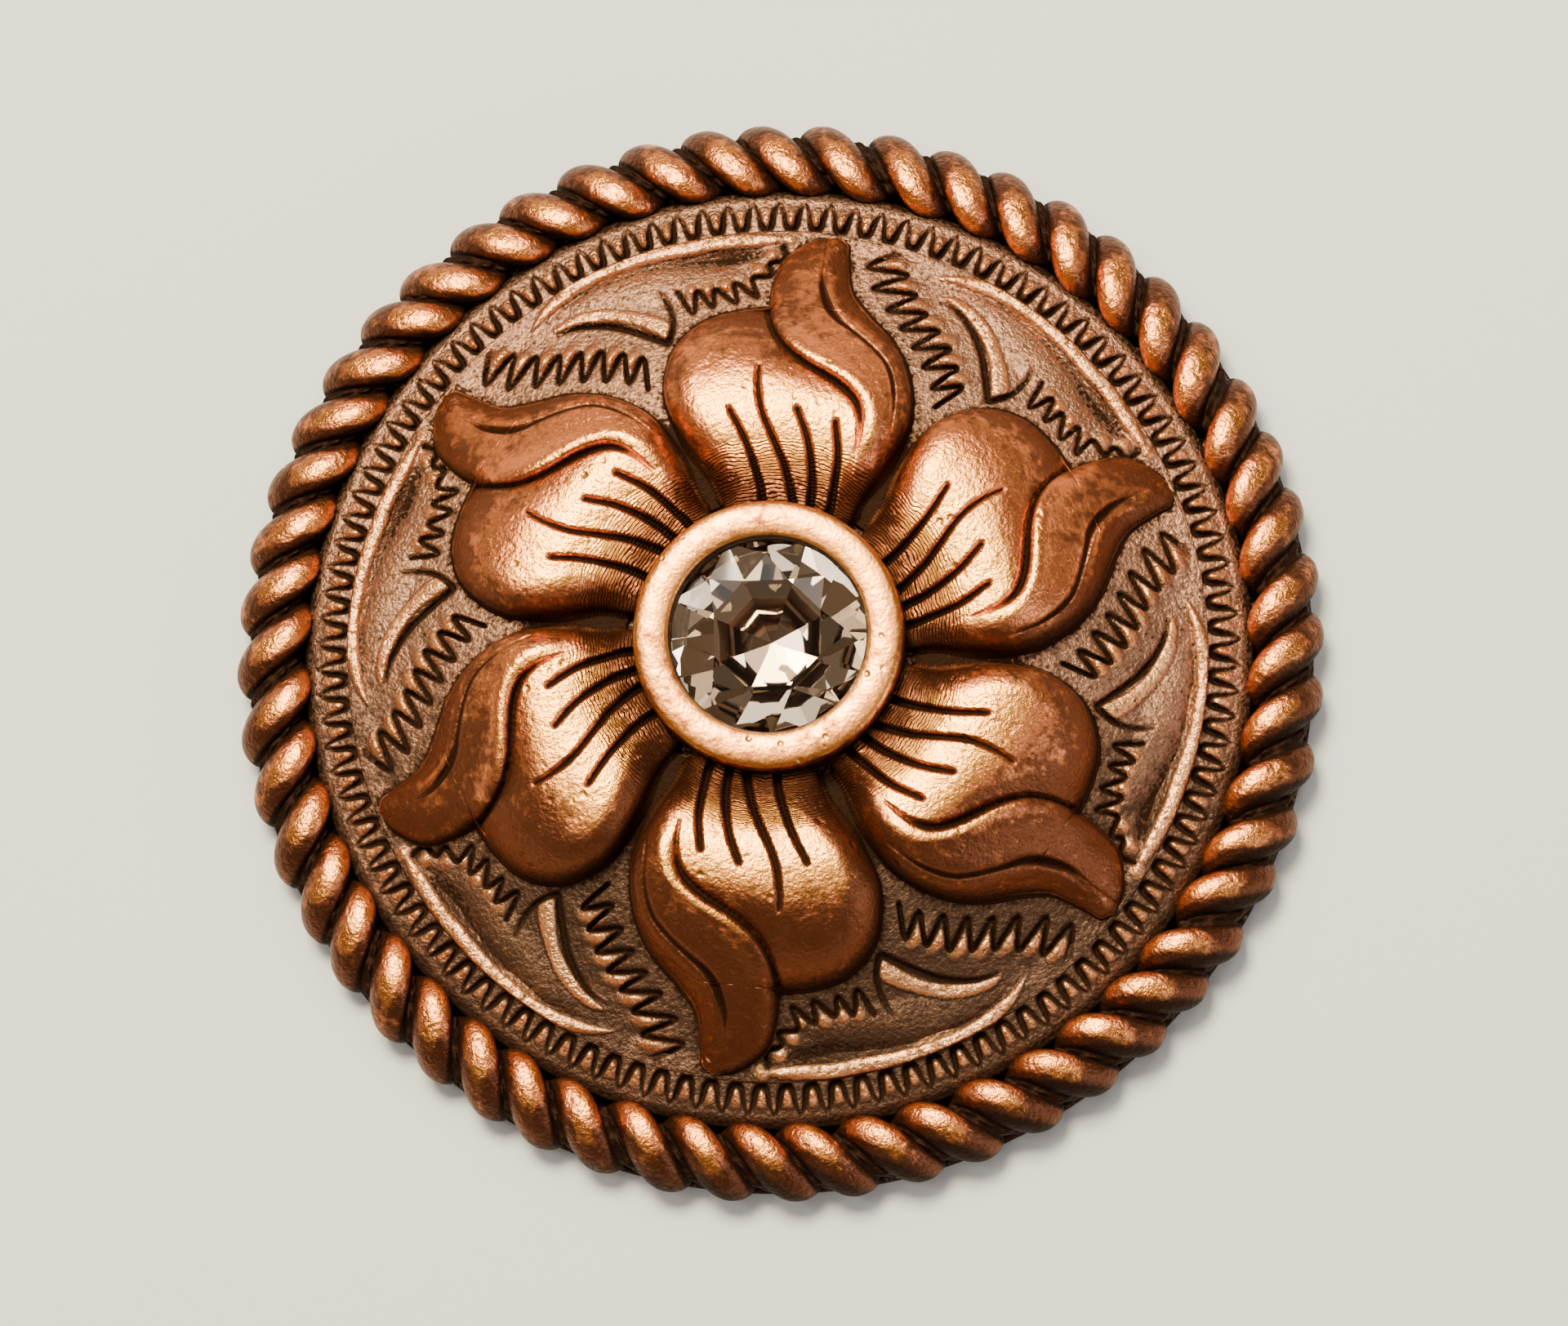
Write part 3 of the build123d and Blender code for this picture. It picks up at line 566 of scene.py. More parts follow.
ropeLook = {
    "copper": (0.78, 0.235, 0.085), "brown": (0.12, 0.038, 0.018),
    "bright": (1.0, 0.42, 0.06), "black": (0.022, 0.008, 0.004),
    "cloudSize": 1.6, "speckSize": 0.35, "lumpSize": 0.6,
    "hollowDark": 1.1, "grainDark": 0.8, "darkMatte": 0.1,
    "speckBrown": 1.2, "brownShare": -0.28, "agedAndShadeShare": 0.8, "brownStays": 0.9, "brownRough": 0.04,
    "rubClears": 0.35, "brightShare": 0.4, "rubGloss": 0.03,
    "rough": 0.3, "roughVary": 0.16, "patinaSheen": 0.2,
    "pitSize": 0.7, "pitWidth": 0.25, "pitDepth": 0.5,
    "grainDepth": 0.9, "speckDepth": 1.4, "lumpDepth": 1.0, "reliefDepth": 0.04,
    "strands": 52, "ringRadius": 14.86, "middleHeight": 1.12, "ropeRadius": 1.12, "coreRadius": 0.6,
    "seat": 0.63, "strandWidth": 0.43, "tipShare": 0.45, "tipHeight": 0.7, "taperPower": 0.4,
    "crestInward": 0.38, "slantDeg": 8.6, "turnDeg": 1.4, "leanDeg": 42, "shadeWay": (0.35, -0.94),
    "strandColumns": 26, "gapColumns": 5, "over": 40, "under": 5,
    "uneven": 0.035, "placeVary": 0.06, "beadRise": 0.36, "beads": 4.5,
}


# Strands laid slantwise over a round core. Across a strand the distance from the core's middle
# rises with the cosine of a half turn, and towards its two ends the strand gets narrower and
# lower with a power of a sine. The slant is a turn that grows on the way over the top and
# goes back underneath, where the rope lies flat. The crest leans towards the axis in proportion
# to its height. Each strand differs a little from the next, and small beads lie in the gaps.
# Patina is painted in the gaps, underneath and at the ends, and painted shade on the flanks that face down
# the picture, away from the lamps.
def ropeRings():
    look, strands = ropeLook, ropeLook["strands"]
    low = math.asin((look["middleHeight"] - look["seat"]) / look["ropeRadius"])
    over, under = np.linspace(0, 1, look["over"]), np.linspace(0, 1, look["under"] + 2)[1:-1]
    around = np.concatenate([over * (np.pi + 2 * low) - low, np.pi + low + under * (np.pi - 2 * low)])
    slide = np.radians(look["slantDeg"]) * np.concatenate([over - 0.5, 0.5 - under])
    taper = np.concatenate([np.sin(np.pi * over) ** look["taperPower"], 0 * under])
    lean = np.linspace(-np.pi / 2, np.pi / 2, look["strandColumns"])
    gap = np.arange(1, look["gapColumns"] + 1) / (look["gapColumns"] + 1)
    width = look["strandWidth"] * (look["tipShare"] + (1 - look["tipShare"]) * taper)
    place = np.concatenate([np.sin(lean)[:, None] * width, width + gap[:, None] * (1 - 2 * width)])
    bead = look["beadRise"] * np.sin(np.pi * gap)[:, None] * np.sin(around * look["beads"]) ** 2
    tall = look["tipHeight"] + (1 - look["tipHeight"]) * taper
    rise = np.concatenate([np.cos(lean)[:, None] * tall, bead])
    rng = np.random.default_rng(11)
    vary = 1 + look["uneven"] * rng.uniform(-1, 1, (strands, 1, 1))
    shift = look["placeVary"] * rng.uniform(-1, 1, (strands, 1, 1))
    strand = np.arange(strands)[:, None, None]
    turn = math.radians(look["turnDeg"]) + 2 * np.pi * (strand + shift + place) / strands + slide
    up, level = np.sin(around), np.cos(around)
    out = look["coreRadius"] + (look["ropeRadius"] - look["coreRadius"]) * np.minimum(rise * vary, 1)
    radius = look["ringRadius"] + out * (level - look["crestInward"] * np.maximum(up, 0))
    height = np.maximum(look["middleHeight"] + out * up, look["seat"])
    rings = atTurn(radius, turn, height).reshape(-1, len(around), 3)

    ridge, side = (np.tile(np.concatenate([value, 0 * gap])[:, None], (strands, 1))
                   for value in (np.cos(lean), np.sin(lean)))
    beaded = np.tile(np.vstack([np.zeros((len(lean), len(around))), bead]), (strands, 1))
    spin = turn.reshape(len(rings), -1)
    flank = spin - math.radians(look["leanDeg"])
    facingX = level * np.sin(spin) + side * np.cos(flank)
    facingY = level * np.cos(spin) - side * np.sin(flank)
    # painted shade: flanks that face down the picture, away from the lamps, are darkened
    shadedSide = look["shadeWay"][0] * facingX + look["shadeWay"][1] * facingY
    hollow = 1.1 * (1 - rampUp(ridge, 0.05, 0.6)) + 0.9 * rampUp(-up, -0.15, 0.5) - beaded
    hollow = hollow + 0.9 * rampUp(shadedSide, 0.3, 1.1)
    rubAndHighlight = rampUp(ridge, 0.86, 0.99) * rampUp(up, 0.55, 0.92)
    ends = 0.75 * rampUp(level, 0.05, 0.8) + 0.3 * rampUp(-level, 0.7, 0.95)
    agedAndShade = 0.8 * (1 - rampUp(ridge, 0.4, 0.92)) + ends + 0.15 * lowerHalfShade(rings) + 0.9 * rampUp(shadedSide, 0.0, 0.8)
    return rings, {"hollow": np.clip(hollow, 0, 1), "rubAndHighlight": rubAndHighlight, "agedAndShade": np.clip(agedAndShade, 0, 1)}


rings, shades = ropeRings()
ringSolid("ropeRing", rings, True, shades, copperPaint("ropeCopper", ropeLook), "rope_copper", "rope_edge")
print("rope done:", ropeLook["strands"], "strands")

# The flower

petalLook = {
    "copper": (0.79, 0.24, 0.084), "brown": (0.165, 0.05, 0.021),
    "bright": (1.0, 0.46, 0.07), "black": (0.026, 0.009, 0.004),
    "cloudSize": 3.0, "speckSize": 0.34, "lumpSize": 0.9,
    "hollowDark": 1.1, "grainDark": 0.7, "darkMatte": 0.4,
    "speckBrown": 1.5, "brownShare": -0.16, "agedAndShadeShare": 0.72, "brownStays": 0.8, "brownRough": 0.06,
    "rubClears": 0.4, "brightShare": 0.7, "rubGloss": 0.05,
    "rough": 0.33, "roughVary": 0.26, "patinaSheen": 0.05,
    "pitSize": 0.5, "pitWidth": 0.3, "pitDepth": 0.8,
    "fileSpacing": 0.095, "fileReach": 4.9, "fileDepth": 0.7, "fileWander": 30,
    "grainDepth": 0.8, "speckDepth": 1.0, "lumpDepth": 0.9, "reliefDepth": 0.04,
    "rowEnds": (0.29, 0.62, 0.784, 0.803, 0.975, 0.9998), "rowCounts": (54, 30, 12, 28, 12),
    "across": 156, "edgeCrowd": 0.4, "wall": 6, "flare": 0.13, "rootFlare": 0.17, "sink": 0.05,
    "thickness": 1.45, "least": 0.12, "edgeDrop": 0.8, "edgeRound": 1.0, "roundFrom": (3.6, 4.6),
    "veinDepth": 0.32, "foldDepth": 0.36, "thinDepth": 0.26, "foldRidge": 0.15,
    "lipAt": 0.38, "lipWidth": 0.27, "thinLipAt": 0.26, "thinLipWidth": 0.15, "thinLipShare": 0.8,
    "lobeFall": 0.34, "fallWidth": 0.75, "fallFrom": (6.8, 9.0),
    "ledge": 0.2, "ledgeStep": (-0.05, 0.15), "ledgeFrom": (6.2, 7.6),
    "tipFade": 0.45, "fadeFrom": (9.5, 12.2), "shadeWay": (0.5, -0.87),
}
petalBody = smoothCurve([
    (0.27, 0.22), (0.32, 0.34), (0.36, 0.5), (0.44, 0.74), (0.53, 0.95), (0.62, 1.0), (0.69, 0.93),
    (0.75, 0.76), (0.8, 0.62), (0.88, 0.44), (0.94, 0.34), (1.0, 0.26),
])
veins = [
    [(-0.16, 3.2, 0.15), (-0.22, 3.94, 0.14), (-0.35, 4.68, 0.125), (-0.7, 5.68, 0.11),
     (-1.15, 6.58, 0.095)],
    [(0.65, 3.2, 0.15), (0.65, 3.95, 0.14), (0.45, 4.9, 0.125), (0.25, 5.4, 0.12), (0.03, 5.9, 0.11),
     (-0.18, 6.4, 0.105), (-0.3, 6.9, 0.1), (-0.35, 7.4, 0.09), (-0.33, 7.9, 0.085)],
    [(1.02, 3.2, 0.15), (1.15, 3.89, 0.14), (1.22, 4.68, 0.13), (1.1, 5.68, 0.115), (0.8, 6.58, 0.1)],
    [(1.44, 3.1, 0.15), (1.72, 3.74, 0.14), (1.82, 4.19, 0.13), (1.97, 5.18, 0.12), (1.9, 6.18, 0.1)],
]
lobeFold = [
    (2.5, 5.3, 0.03), (2.6, 5.95, 0.07), (2.6, 6.35, 0.1), (2.5, 6.75, 0.13), (2.25, 7.1, 0.145),
    (1.85, 7.45, 0.15), (1.4, 7.75, 0.14), (0.95, 8.05, 0.13), (0.55, 8.4, 0.12), (0.25, 8.75, 0.115),
    (0.03, 9.15, 0.11), (-0.1, 9.5, 0.11), (-0.18, 9.85, 0.11), (-0.2, 10.05, 0.11),
]
flameFold = [
    (3.48, 5.9, 0.03), (3.55, 6.6, 0.07), (3.55, 7.1, 0.09), (3.47, 7.6, 0.1), (3.3, 8.05, 0.1),
    (3.0, 8.45, 0.1), (2.6, 8.85, 0.1), (2.2, 9.2, 0.11), (1.85, 9.5, 0.13), (1.6, 9.85, 0.145),
    (1.45, 10.25, 0.14), (1.36, 10.7, 0.11), (1.38, 11.25, 0.04),
]


# Distance to the right of a fold, less than zero on its left, and the fold's strength, 0 to 1.
def besideFold(x, y, given):
    curve = smoothCurve(given, 8)
    distance, along, side = nearCurve(x, y, curve)
    strength = np.interp(along, np.arange(len(curve)), curve[:, 2]) / curve[:, 2].max()
    return -side * distance, strength


# Height and shades of a petal's top over (x, y): the dome plus the petal's body, which is a smooth
# curve of the distance out, less a quarter circle near the outline, less channels along veins and
# folds, plus the folds' lips. What is rubbed bright is kept to places that face up, where the lamps'
# highlight falls, so it is worn copper and painted highlight together: the cross product of the
# steps along and across the grid is upright there.
def petalTop(x, y):
    look, radius = petalLook, np.hypot(x, y)
    dome = plateTop(radius)
    body = np.interp(radius / reach, petalBody[:, 0], petalBody[:, 1]) * look["thickness"]
    inside = np.clip(nearCurve(x, y, outlineCurve)[0] / look["edgeRound"], 0, 1)
    drop = np.minimum(look["edgeDrop"], body - look["least"])
    rounding = drop * (1 - np.sqrt(1 - (1 - inside) ** 2)) * rampUp(radius, *look["roundFrom"])
    vein = np.max([channelAlong(x, y, line) for line in veins], 0)
    fold, thinFold = channelAlong(x, y, lobeFold), channelAlong(x, y, flameFold)
    right, strength = besideFold(x, y, lobeFold)
    thinRight, thinStrength = besideFold(x, y, flameFold)
    lip = swell(right - look["lipAt"], look["lipWidth"]) * (right > 0) * strength
    thinLip = swell(thinRight - look["thinLipAt"], look["thinLipWidth"]) * (thinRight > 0) * thinStrength
    lips = lip + look["thinLipShare"] * thinLip
    lobeFall = swell(right, look["fallWidth"]) * (right < 0) * strength * rampUp(radius, *look["fallFrom"])
    ledge = rampUp(thinRight, *look["ledgeStep"]) * np.sqrt(thinStrength)
    ledge = ledge * rampUp(radius, *look["ledgeFrom"])
    relief = (look["foldRidge"] * lips - look["veinDepth"] * vein - look["foldDepth"] * fold
              - look["thinDepth"] * thinFold - look["lobeFall"] * lobeFall - look["ledge"] * ledge)
    relief = relief * (1 - look["tipFade"] * rampUp(radius, *look["fadeFrom"]))
    top = np.maximum(dome + body - rounding + relief, dome + look["least"])
    along, across = np.gradient(np.stack([x, y, top], -1), axis=(0, 1))
    normal = np.cross(along, across)
    facingUp = np.abs(normal[..., 2]) / np.maximum(np.linalg.norm(normal, axis=-1), 1e-12)
    lines = np.clip(1.6 * vein + 1.3 * fold + 1.3 * thinFold, 0, 1)
    hollow = lines + 0.6 * (1 - rampUp(radius, 3.9, 4.25)) + 0.3 * (1 - rampUp(inside, 0.0, 0.3))
    rubAndHighlight = np.clip(0.9 * lips + swell(radius - 6.2, 1.9) * rampUp(inside, 0.3, 0.9) - 0.8 * lobeFall, 0, 1)
    # painted highlight: the bright rub stays only where the surface faces up towards the lamps
    rubAndHighlight = rubAndHighlight * (1 - lines) * rampUp(facingUp, 0.86, 0.98)
    agedAndShade = 0.6 * rampUp(radius, 6.8, 10.0) * (1 - lips) + 0.7 * (1 - rampUp(inside, 0.1, 0.9))
    agedAndShade = agedAndShade + 0.5 * lobeFall + 0.7 * (1 - rampUp(radius, 4.3, 5.6))
    return top, np.clip(hollow, 0, 1), rubAndHighlight, agedAndShade, 1 - rampUp(inside, 0.0, 0.7)


# A petal as rows at growing distance out. Each row is a loop: across the top from the left edge
# to the right one, down a wall that flares outwards with the square of its depth, and back below.
# Beside the rings and shades it gives the level way that each point near an edge faces.
def petalRings():
    look, radius = petalLook, reach * spacedRows(petalLook["rowEnds"], petalLook["rowCounts"])
    even = np.linspace(0, 1, look["across"])
    share = (1 - look["edgeCrowd"]) * even + look["edgeCrowd"] * (1 - np.cos(np.pi * even)) / 2
    left, right = angleAt(leftCurve, radius)[:, None], angleAt(rightCurve, radius)[:, None]
    angle = left + share * np.maximum(right - left, 1e-4)
    x, y = radius[:, None] * np.sin(angle), radius[:, None] * np.cos(angle)
    top, hollow, rubAndHighlight, agedAndShade, nearEdge = petalTop(x, y)
    floor = plateTop(radius)[:, None] - look["sink"]
    t = np.linspace(0, 1, look["wall"] + 1)[1:]
    flare = look["flare"] + look["rootFlare"] * (1 - rampUp(radius, 5.8, 7.2))
    flare = flare * rampUp(radius, 3.9, 4.4) * (1 - rampUp(radius, 12.2, 12.45))

    def outward(edge, side):
        dx, dy = np.gradient(x[:, edge]), np.gradient(y[:, edge])
        return side * np.stack([dy, -dx], 1) / np.maximum(np.hypot(dx, dy), 1e-9)[:, None]

    def wall(edge, away):
        ex, ey, ez = x[:, edge, None], y[:, edge, None], top[:, edge, None]
        away = away * flare[:, None]
        return np.stack([ex + away[:, :1] * t**2, ey + away[:, 1:] * t**2, ez + (floor - ez) * t], -1)

    toRight, toLeft = outward(-1, 1), outward(0, -1)
    rings = np.concatenate([np.stack([x, y, top], -1), wall(-1, toRight), wall(0, toLeft)[:, ::-1]], 1)
    depth = np.broadcast_to(np.concatenate([t, t[::-1]]), (len(radius), 2 * look["wall"]))
    dull = 0.35 + 0.6 * rampUp(depth, 0.1, 0.9)
    onRight = np.concatenate([even > 0.5, t > 0, t < 0])[None, :, None]
    facing = np.where(onRight, toRight[:, None], toLeft[:, None])
    facing = facing * np.hstack([nearEdge, 0 * dull + 1])[..., None]
    shades = {"hollow": np.hstack([hollow, dull]), "rubAndHighlight": np.hstack([rubAndHighlight, 0 * dull]),
              "agedAndShade": np.hstack([agedAndShade, 0 * dull + 0.8])}
    return rings, shades, np.dstack([facing, 0 * facing[..., :1]])


petalKind = (copperPaint("petalCopper", petalLook), "flower_copper", "flower")
rings, shades, facing = petalRings()
for k, turn in enumerate(sixths):
    placed, away = turned(rings, turn), turned(facing, turn)
    shadedSide = petalLook["shadeWay"][0] * away[..., 0] + petalLook["shadeWay"][1] * away[..., 1]
    shadedSide = np.clip(shadedSide, -0.5, 1)  # painted shade on edges that face the lower right, away from the lamps
    # the dark and brown masks get painted shade on the lower-right edges and on the lower half
    wornAndShaded = {"hollow": np.clip(shades["hollow"] + 0.35 * shadedSide, 0, 1), "rubAndHighlight": shades["rubAndHighlight"],
            "agedAndShade": np.clip(0.75 * shades["agedAndShade"] + 0.78 * lowerHalfShade(placed) + 0.3 * shadedSide, 0, 1)}
    ringSolid(f"petal{k}", placed, False, wornAndShaded, *petalKind)

hubLook = {"profile": [(3.32, 4.26), (3.93, 4.26), (3.93, 4.66), (3.88, 4.71), (3.32, 4.71)],
           "spacing": 0.15, "steps": 240, "hollow": 0.8}
rings = revolvedRings(denserLoop(hubLook["profile"], hubLook["spacing"]), hubLook["steps"])
plain = np.zeros(rings.shape[:2])
ringSolid("flowerHub", rings, True, {"hollow": plain + hubLook["hollow"], "rubAndHighlight": plain}, *petalKind)
print("flower done: six petals and their hub")

# The bezel

bezelLook = {
    "copper": (0.9, 0.29, 0.08), "brown": (0.24, 0.064, 0.022),
    "bright": (1.0, 0.44, 0.09), "black": (0.03, 0.01, 0.004),
    "cloudSize": 2.0, "speckSize": 0.4, "lumpSize": 0.9,
    "hollowDark": 1.0, "grainDark": 0.3, "darkMatte": 0.2,
    "speckBrown": 1.7, "brownShare": 0.08, "agedAndShadeShare": 0.3, "brownStays": 0.9, "brownRough": 0.08,
    "rubClears": 0.15, "brightShare": 0.5, "rubGloss": 0.02,
    "rough": 0.33, "roughVary": 0.14, "patinaSheen": 0.2,
    "pitSize": 0.45, "pitWidth": 0.28, "pitDepth": 1.0,
    "grainDepth": 0.5, "speckDepth": 0.8, "lumpDepth": 0.7, "reliefDepth": 0.03,
    "opening": 2.82, "outer": 3.9, "top": 5.62, "outerShoulder": 5.13, "innerShoulder": 5.22,
    "crownPoints": 28, "crownPower": 0.36, "steps": 504, "ticks": 84, "tickDepth": 0.05, "tickInner": 3.7,
    "cup": [(2.82, 5.05), (3.04, 5.03), (3.04, 4.86), (0.62, 2.98), (0.62, 2.42), (0.9, 2.41),
            (3.24, 4.12), (3.24, 4.76)],
    "foot": [(3.84, 4.77), (3.87, 4.8), (3.9, 4.88), (3.9, 5.0)],
}


# A rounded rim on a cup. The rim rises from a shoulder on either side to the top with a power of
# the sine over a half turn, and the inner shoulder is the higher one. The foot is notched: the
# outer distance drops with the cosine of the turn.
def bezelRings():
    look = bezelLook
    middle, half = (look["outer"] + look["opening"]) / 2, (look["outer"] - look["opening"]) / 2
    arc = np.linspace(0, np.pi, look["crownPoints"])
    shoulder = np.where(arc < np.pi / 2, look["outerShoulder"], look["innerShoulder"])
    crownUp = shoulder + (look["top"] - shoulder) * np.sin(arc) ** look["crownPower"]
    crown = zip(middle + half * np.cos(arc), crownUp)
    rings = revolvedRings([*crown, *look["cup"], *look["foot"]], look["steps"])
    radius, height = np.hypot(rings[..., 0], rings[..., 1]), rings[..., 2]
    turn = np.linspace(0, 2 * np.pi, look["steps"], endpoint=False)[:, None]
    notch = 0.5 + 0.5 * np.cos(turn * look["ticks"])
    low = (radius > look["tickInner"]) * (1 - rampUp(height, 4.86, 5.02))
    rings[..., :2] *= (1 - look["tickDepth"] * notch * low / radius)[..., None]
    hollow = np.clip(0.9 * (1 - rampUp(height, 4.9, 5.2)) + 0.9 * (1 - rampUp(radius, 2.84, 2.94)), 0, 1)
    return rings, {"hollow": hollow, "rubAndHighlight": rampUp(height, 5.35, 5.6)}


rings, shades = bezelRings()
ringSolid("bezelRing", rings, True, shades, copperPaint("bezelCopper", bezelLook), "bezel_copper", "bezel")
print("bezel done")

# The crystal

stoneLook = {
    "facets": 8, "radius": 2.99, "turnDeg": 21, "tableOut": 1.66, "tableUp": 5.618, "starOut": 2.34,
    "starUp": 5.345, "girdleTop": 5.0, "girdle": 4.9, "mainOut": 1.7, "culetUp": 2.7,
    "glass": (1.0, 0.965, 0.91), "glassShade": 0.97, "glassIor": 1.56,
    "foil": (0.98, 0.83, 0.68), "foilShade": 0.9, "foilRough": 0.03, "shadedFoil": 0.6,
    # for each facet of the back, 1 is the foil and 2 the one painted darker, a painted dark reflection
    "firstHalves": (1, 1, 2, 1, 2, 1, 1, 2), "secondHalves": (2, 1, 1, 1, 1, 2, 1, 1),
    "mains": (1, 2, 1, 1, 2, 1, 1, 2),
}


# Clear glass for the front, and two foils for the back, each a little uneven in tone; the second is a copy
# painted darker, a painted dark reflection.
def stoneMaterials():
    look = stoneLook

    def tones(colour, full, shade):
        return [tuple(full * share * value for value in colour) for share in (1, shade)]

    glass = Paint("clearStone")
    tint = glass.noise(4.0, 1).mix(*tones(look["glass"], 1, look["glassShade"]))
    glass.fill(glass.shader, {"Base Color": tint, "Roughness": 0.0, "IOR": look["glassIor"],
                              "Transmission Weight": 1.0})
    foils = []
    for name, full in (("stoneFoil", 1.0), ("stoneFoilShaded", look["shadedFoil"])):
        foil = Paint(name)
        tint = foil.noise(1.5, 2).mix(*tones(look["foil"], full, look["foilShade"]))
        foil.fill(foil.shader, {"Base Color": tint, "Metallic": 1.0, "Roughness": look["foilRough"]})
        foils.append(foil.material)
    return [glass.material, *foils]


# Rings of corner points at growing depth, each spaced evenly round the axis: table, stars,
# girdle twice, mains and culet. The facets between them are flat triangles. The height of the
# mains' corners puts the two triangles of a main in one plane, which rises from the culet to the
# girdle in proportion to the distance out. Some of the back facets have a foil painted darker, a painted
# dark reflection.
def stoneSolid():
    look, count = stoneLook, stoneLook["facets"]
    slope = (look["girdle"] - look["culetUp"]) / look["radius"]
    mainUp = look["culetUp"] + slope * look["mainOut"] * math.cos(math.pi / count)

    def ring(out, up, number, shift=0):
        turn = math.radians(look["turnDeg"]) + 2 * np.pi * (np.arange(number) + shift) / number
        return atTurn(out, turn, up)

    points = np.vstack([
        ring(look["tableOut"], look["tableUp"], count),
        ring(look["starOut"], look["starUp"], count, 0.5),
        ring(look["radius"], look["girdleTop"], 2 * count),
        ring(look["radius"], look["girdle"], 2 * count),
        ring(look["mainOut"], mainUp, count, 1),
        [(0, 0, look["culetUp"])],
    ])
    top = np.arange(count)
    nextTop = (top + 1) % count
    star, mains, back = count + top, 6 * count + top, 6 * count + (top - 1) % count
    upper, upperOdd, upperNext = (2 * count + place for place in (2 * top, 2 * top + 1, 2 * nextTop))
    lower, lowerOdd, lowerNext = (4 * count + place for place in (2 * top, 2 * top + 1, 2 * nextTop))
    culet = np.full(count, 7 * count)
    crown = [(nextTop, top, star), (top, upper, star), (nextTop, star, upperNext),
             (upper, upperOdd, star), (upperOdd, upperNext, star)]
    belt = [(lower, lowerOdd, upperOdd), (lower, upperOdd, upper),
            (lowerOdd, lowerNext, upperNext), (lowerOdd, upperNext, upperOdd)]
    pavilion = [(lowerNext, lowerOdd, mains), (lowerNext + 1, lowerNext, mains), (lowerOdd, back, mains),
                (back, culet, mains)]
    crown, belt, pavilion = (np.vstack([np.stack(corners, 1) for corners in group]).tolist()
                             for group in (crown, belt, pavilion))
    mesh = bpy.data.meshes.new("crystalStone")
    mesh.from_pydata((points * mm).tolist(), [], [top[::-1].tolist(), *crown, *belt, *pavilion])
    for material in stoneMaterials():
        mesh.materials.append(material)
    foils = [*look["firstHalves"], *look["secondHalves"], *look["mains"], *look["mains"]]
    mesh.polygons.foreach_set("material_index", [0] * (1 + len(crown)) + [1] * len(belt) + foils)
    settle(bpy.data.objects.new("crystalStone", mesh), "crystal")


stoneSolid()
print("crystal done:", stoneLook["facets"], "mains")

# The post behind

postLook = {"brass": (0.42, 0.27, 0.12), "tarnish": (0.13, 0.08, 0.045), "cloudSize": 2.2, "fineSize": 0.12,
            "rough": 0.34, "roughVary": 0.3, "turning": 0.35, "fineDepth": 0.3, "reliefDepth": 0.03}


# Turned brass, tarnished in clouds, with fine streaks round the post.
def postPaint():
    paint, look = Paint("postBrass"), postLook
    cloud, fine = paint.noise(look["cloudSize"], 5), paint.noise(look["fineSize"], 2)
    turning = paint.streaks(0.5, (0.05, 0.05, 3))
    tarnished = (cloud + (fine - 0.5) * 0.4).between(0.4, 0.7)
    paint.fill(paint.shader, {
        "Base Color": tarnished.mix(look["brass"], look["tarnish"]),
        "Metallic": 1.0,
        "Roughness": look["rough"] + (cloud - 0.5) * look["roughVary"],
        "Normal": paint.bump(turning * look["turning"] + fine * look["fineDepth"], look["reliefDepth"]),
    })
    return paint.material


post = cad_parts["screw_post"]
post.data.materials.clear()
post.data.materials.append(postPaint())
print("post painted")

# Floor, light and camera

stageLook = {"floorSize": 900.0, "floorGap": 0.01, "floorColour": (0.68, 0.68, 0.67), "floorRough": 0.7,
             "world": (1.0, 0.76, 0.55), "worldStrength": 0.17}


def makeFloor():
    half, drop = stageLook["floorSize"] / 2 * mm, -stageLook["floorGap"] * mm
    mesh = bpy.data.meshes.new("floor")
    corners = [(x * half, y * half, drop) for x, y in ((-1, -1), (1, -1), (1, 1), (-1, 1))]
    mesh.from_pydata(corners, [], [(0, 1, 2, 3)])
    paint = Paint("paleFloor")
    paint.fill(paint.shader, {"Base Color": stageLook["floorColour"], "Roughness": stageLook["floorRough"]})
    mesh.materials.append(paint.material)
    floor = bpy.data.objects.new("floor", mesh)
    bpy.context.scene.collection.objects.link(floor)


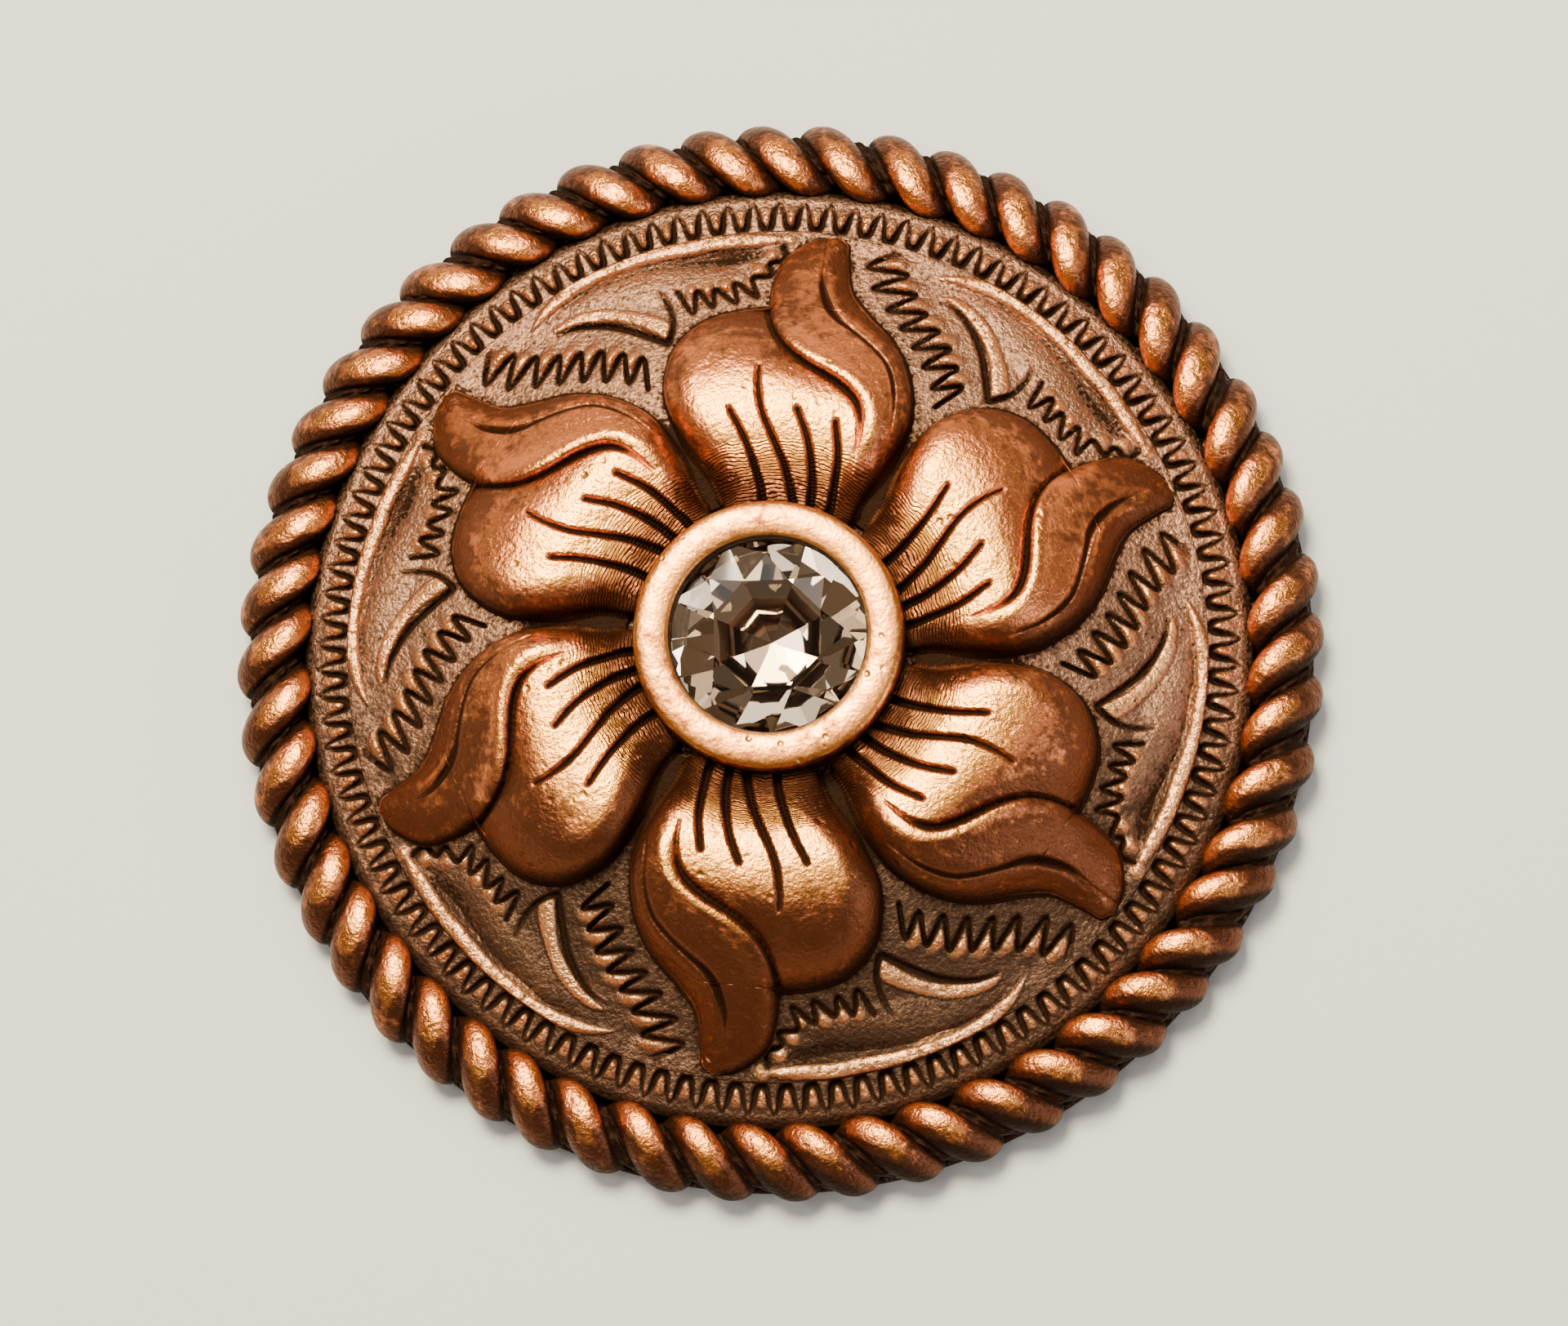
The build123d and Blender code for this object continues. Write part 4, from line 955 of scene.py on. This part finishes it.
# Square lamps, all aimed at the middle. The small cards are for the stone's facets to reflect.
brightCard = {"size": 56, "power": 0.1, "colour": (1.0, 0.96, 0.92)}
dimCard = {"size": 76, "power": 0.055, "colour": (1.0, 0.92, 0.82)}
lights = {
    "topSoftbox": {"place": (-60, 190, 265), "size": 250, "power": 0.32, "colour": (1.0, 0.92, 0.8)},
    "hotKey": {"place": (-50, 108, 280), "size": 100, "power": 1.95, "colour": (1.0, 0.95, 0.64)},
    "rightRim": {"place": (250, -120, 130), "size": 90, "power": 0.25, "colour": (0.78, 0.87, 1.0)},
    "cardRight": {"place": (88, 98, 270), **brightCard},
    "cardLeft": {"place": (-158, 17, 254), **brightCard},
    "cardUpperLeft": {"place": (-93, 129, 254), **brightCard},
    "cardUpper": {"place": (-19, 184, 236), **brightCard},
    "dimLeft": {"place": (-66, -29, 291), **dimCard},
    "dimRight": {"place": (86, -18, 287), **dimCard},
    "dimLow": {"place": (-59, -101, 276), **dimCard},
    "dimUpper": {"place": (92, 160, 236), **dimCard},
    "dimFarLeft": {"place": (-117, 0, 276), **dimCard, "size": 60, "power": 0.035},
}


# Hangs a lamp or the camera in the scene by its three axes and its place.
def hang(item, right, up, back, place):
    rows = np.stack([right, up, back, np.multiply(place, mm)], 1)
    item.matrix_world = Matrix([*rows.tolist(), (0, 0, 0, 1)])
    bpy.context.scene.collection.objects.link(item)


# Each lamp's back points away from the middle, and its top as far along +Y as that allows.
def makeLights():
    for name, look in lights.items():
        data = bpy.data.lights.new(name, "AREA")
        data.size, data.energy, data.color = look["size"] * mm, look["power"], look["colour"]
        back = np.array(look["place"]) / np.linalg.norm(look["place"])
        right = np.cross((0, 1, 0.01), back)
        right /= np.linalg.norm(right)
        hang(bpy.data.objects.new(name, data), right, np.cross(back, right), back, look["place"])
    world = bpy.data.worlds.new("studio")
    world.use_nodes = True
    background = world.node_tree.nodes["Background"].inputs
    background["Color"].default_value = (*stageLook["world"], 1)
    background["Strength"].default_value = stageLook["worldStrength"]
    bpy.context.scene.world = world


# the photograph's view: a long lens 210 mm away, 9.7 degrees off the axis, towards the lower right
cameraLook = {"place": (14.332, -32.731, 208.878), "right": (0.99773, 0.00523, -0.06718),
              "up": (0.00523, 0.98798, 0.15451), "back": (0.06718, -0.15451, 0.9857),
              "lens": 165.77, "sensor": 36, "clip": (0.005, 10)}


def makeCamera():
    look = cameraLook
    data = bpy.data.cameras.new("camera")
    data.lens, data.sensor_width, data.sensor_fit = look["lens"], look["sensor"], "HORIZONTAL"
    data.clip_start, data.clip_end = look["clip"]
    data.dof.use_dof = False
    camera = bpy.data.objects.new("camera", data)
    hang(camera, look["right"], look["up"], look["back"], look["place"])
    bpy.context.scene.camera = camera


makeFloor()
makeLights()
makeCamera()
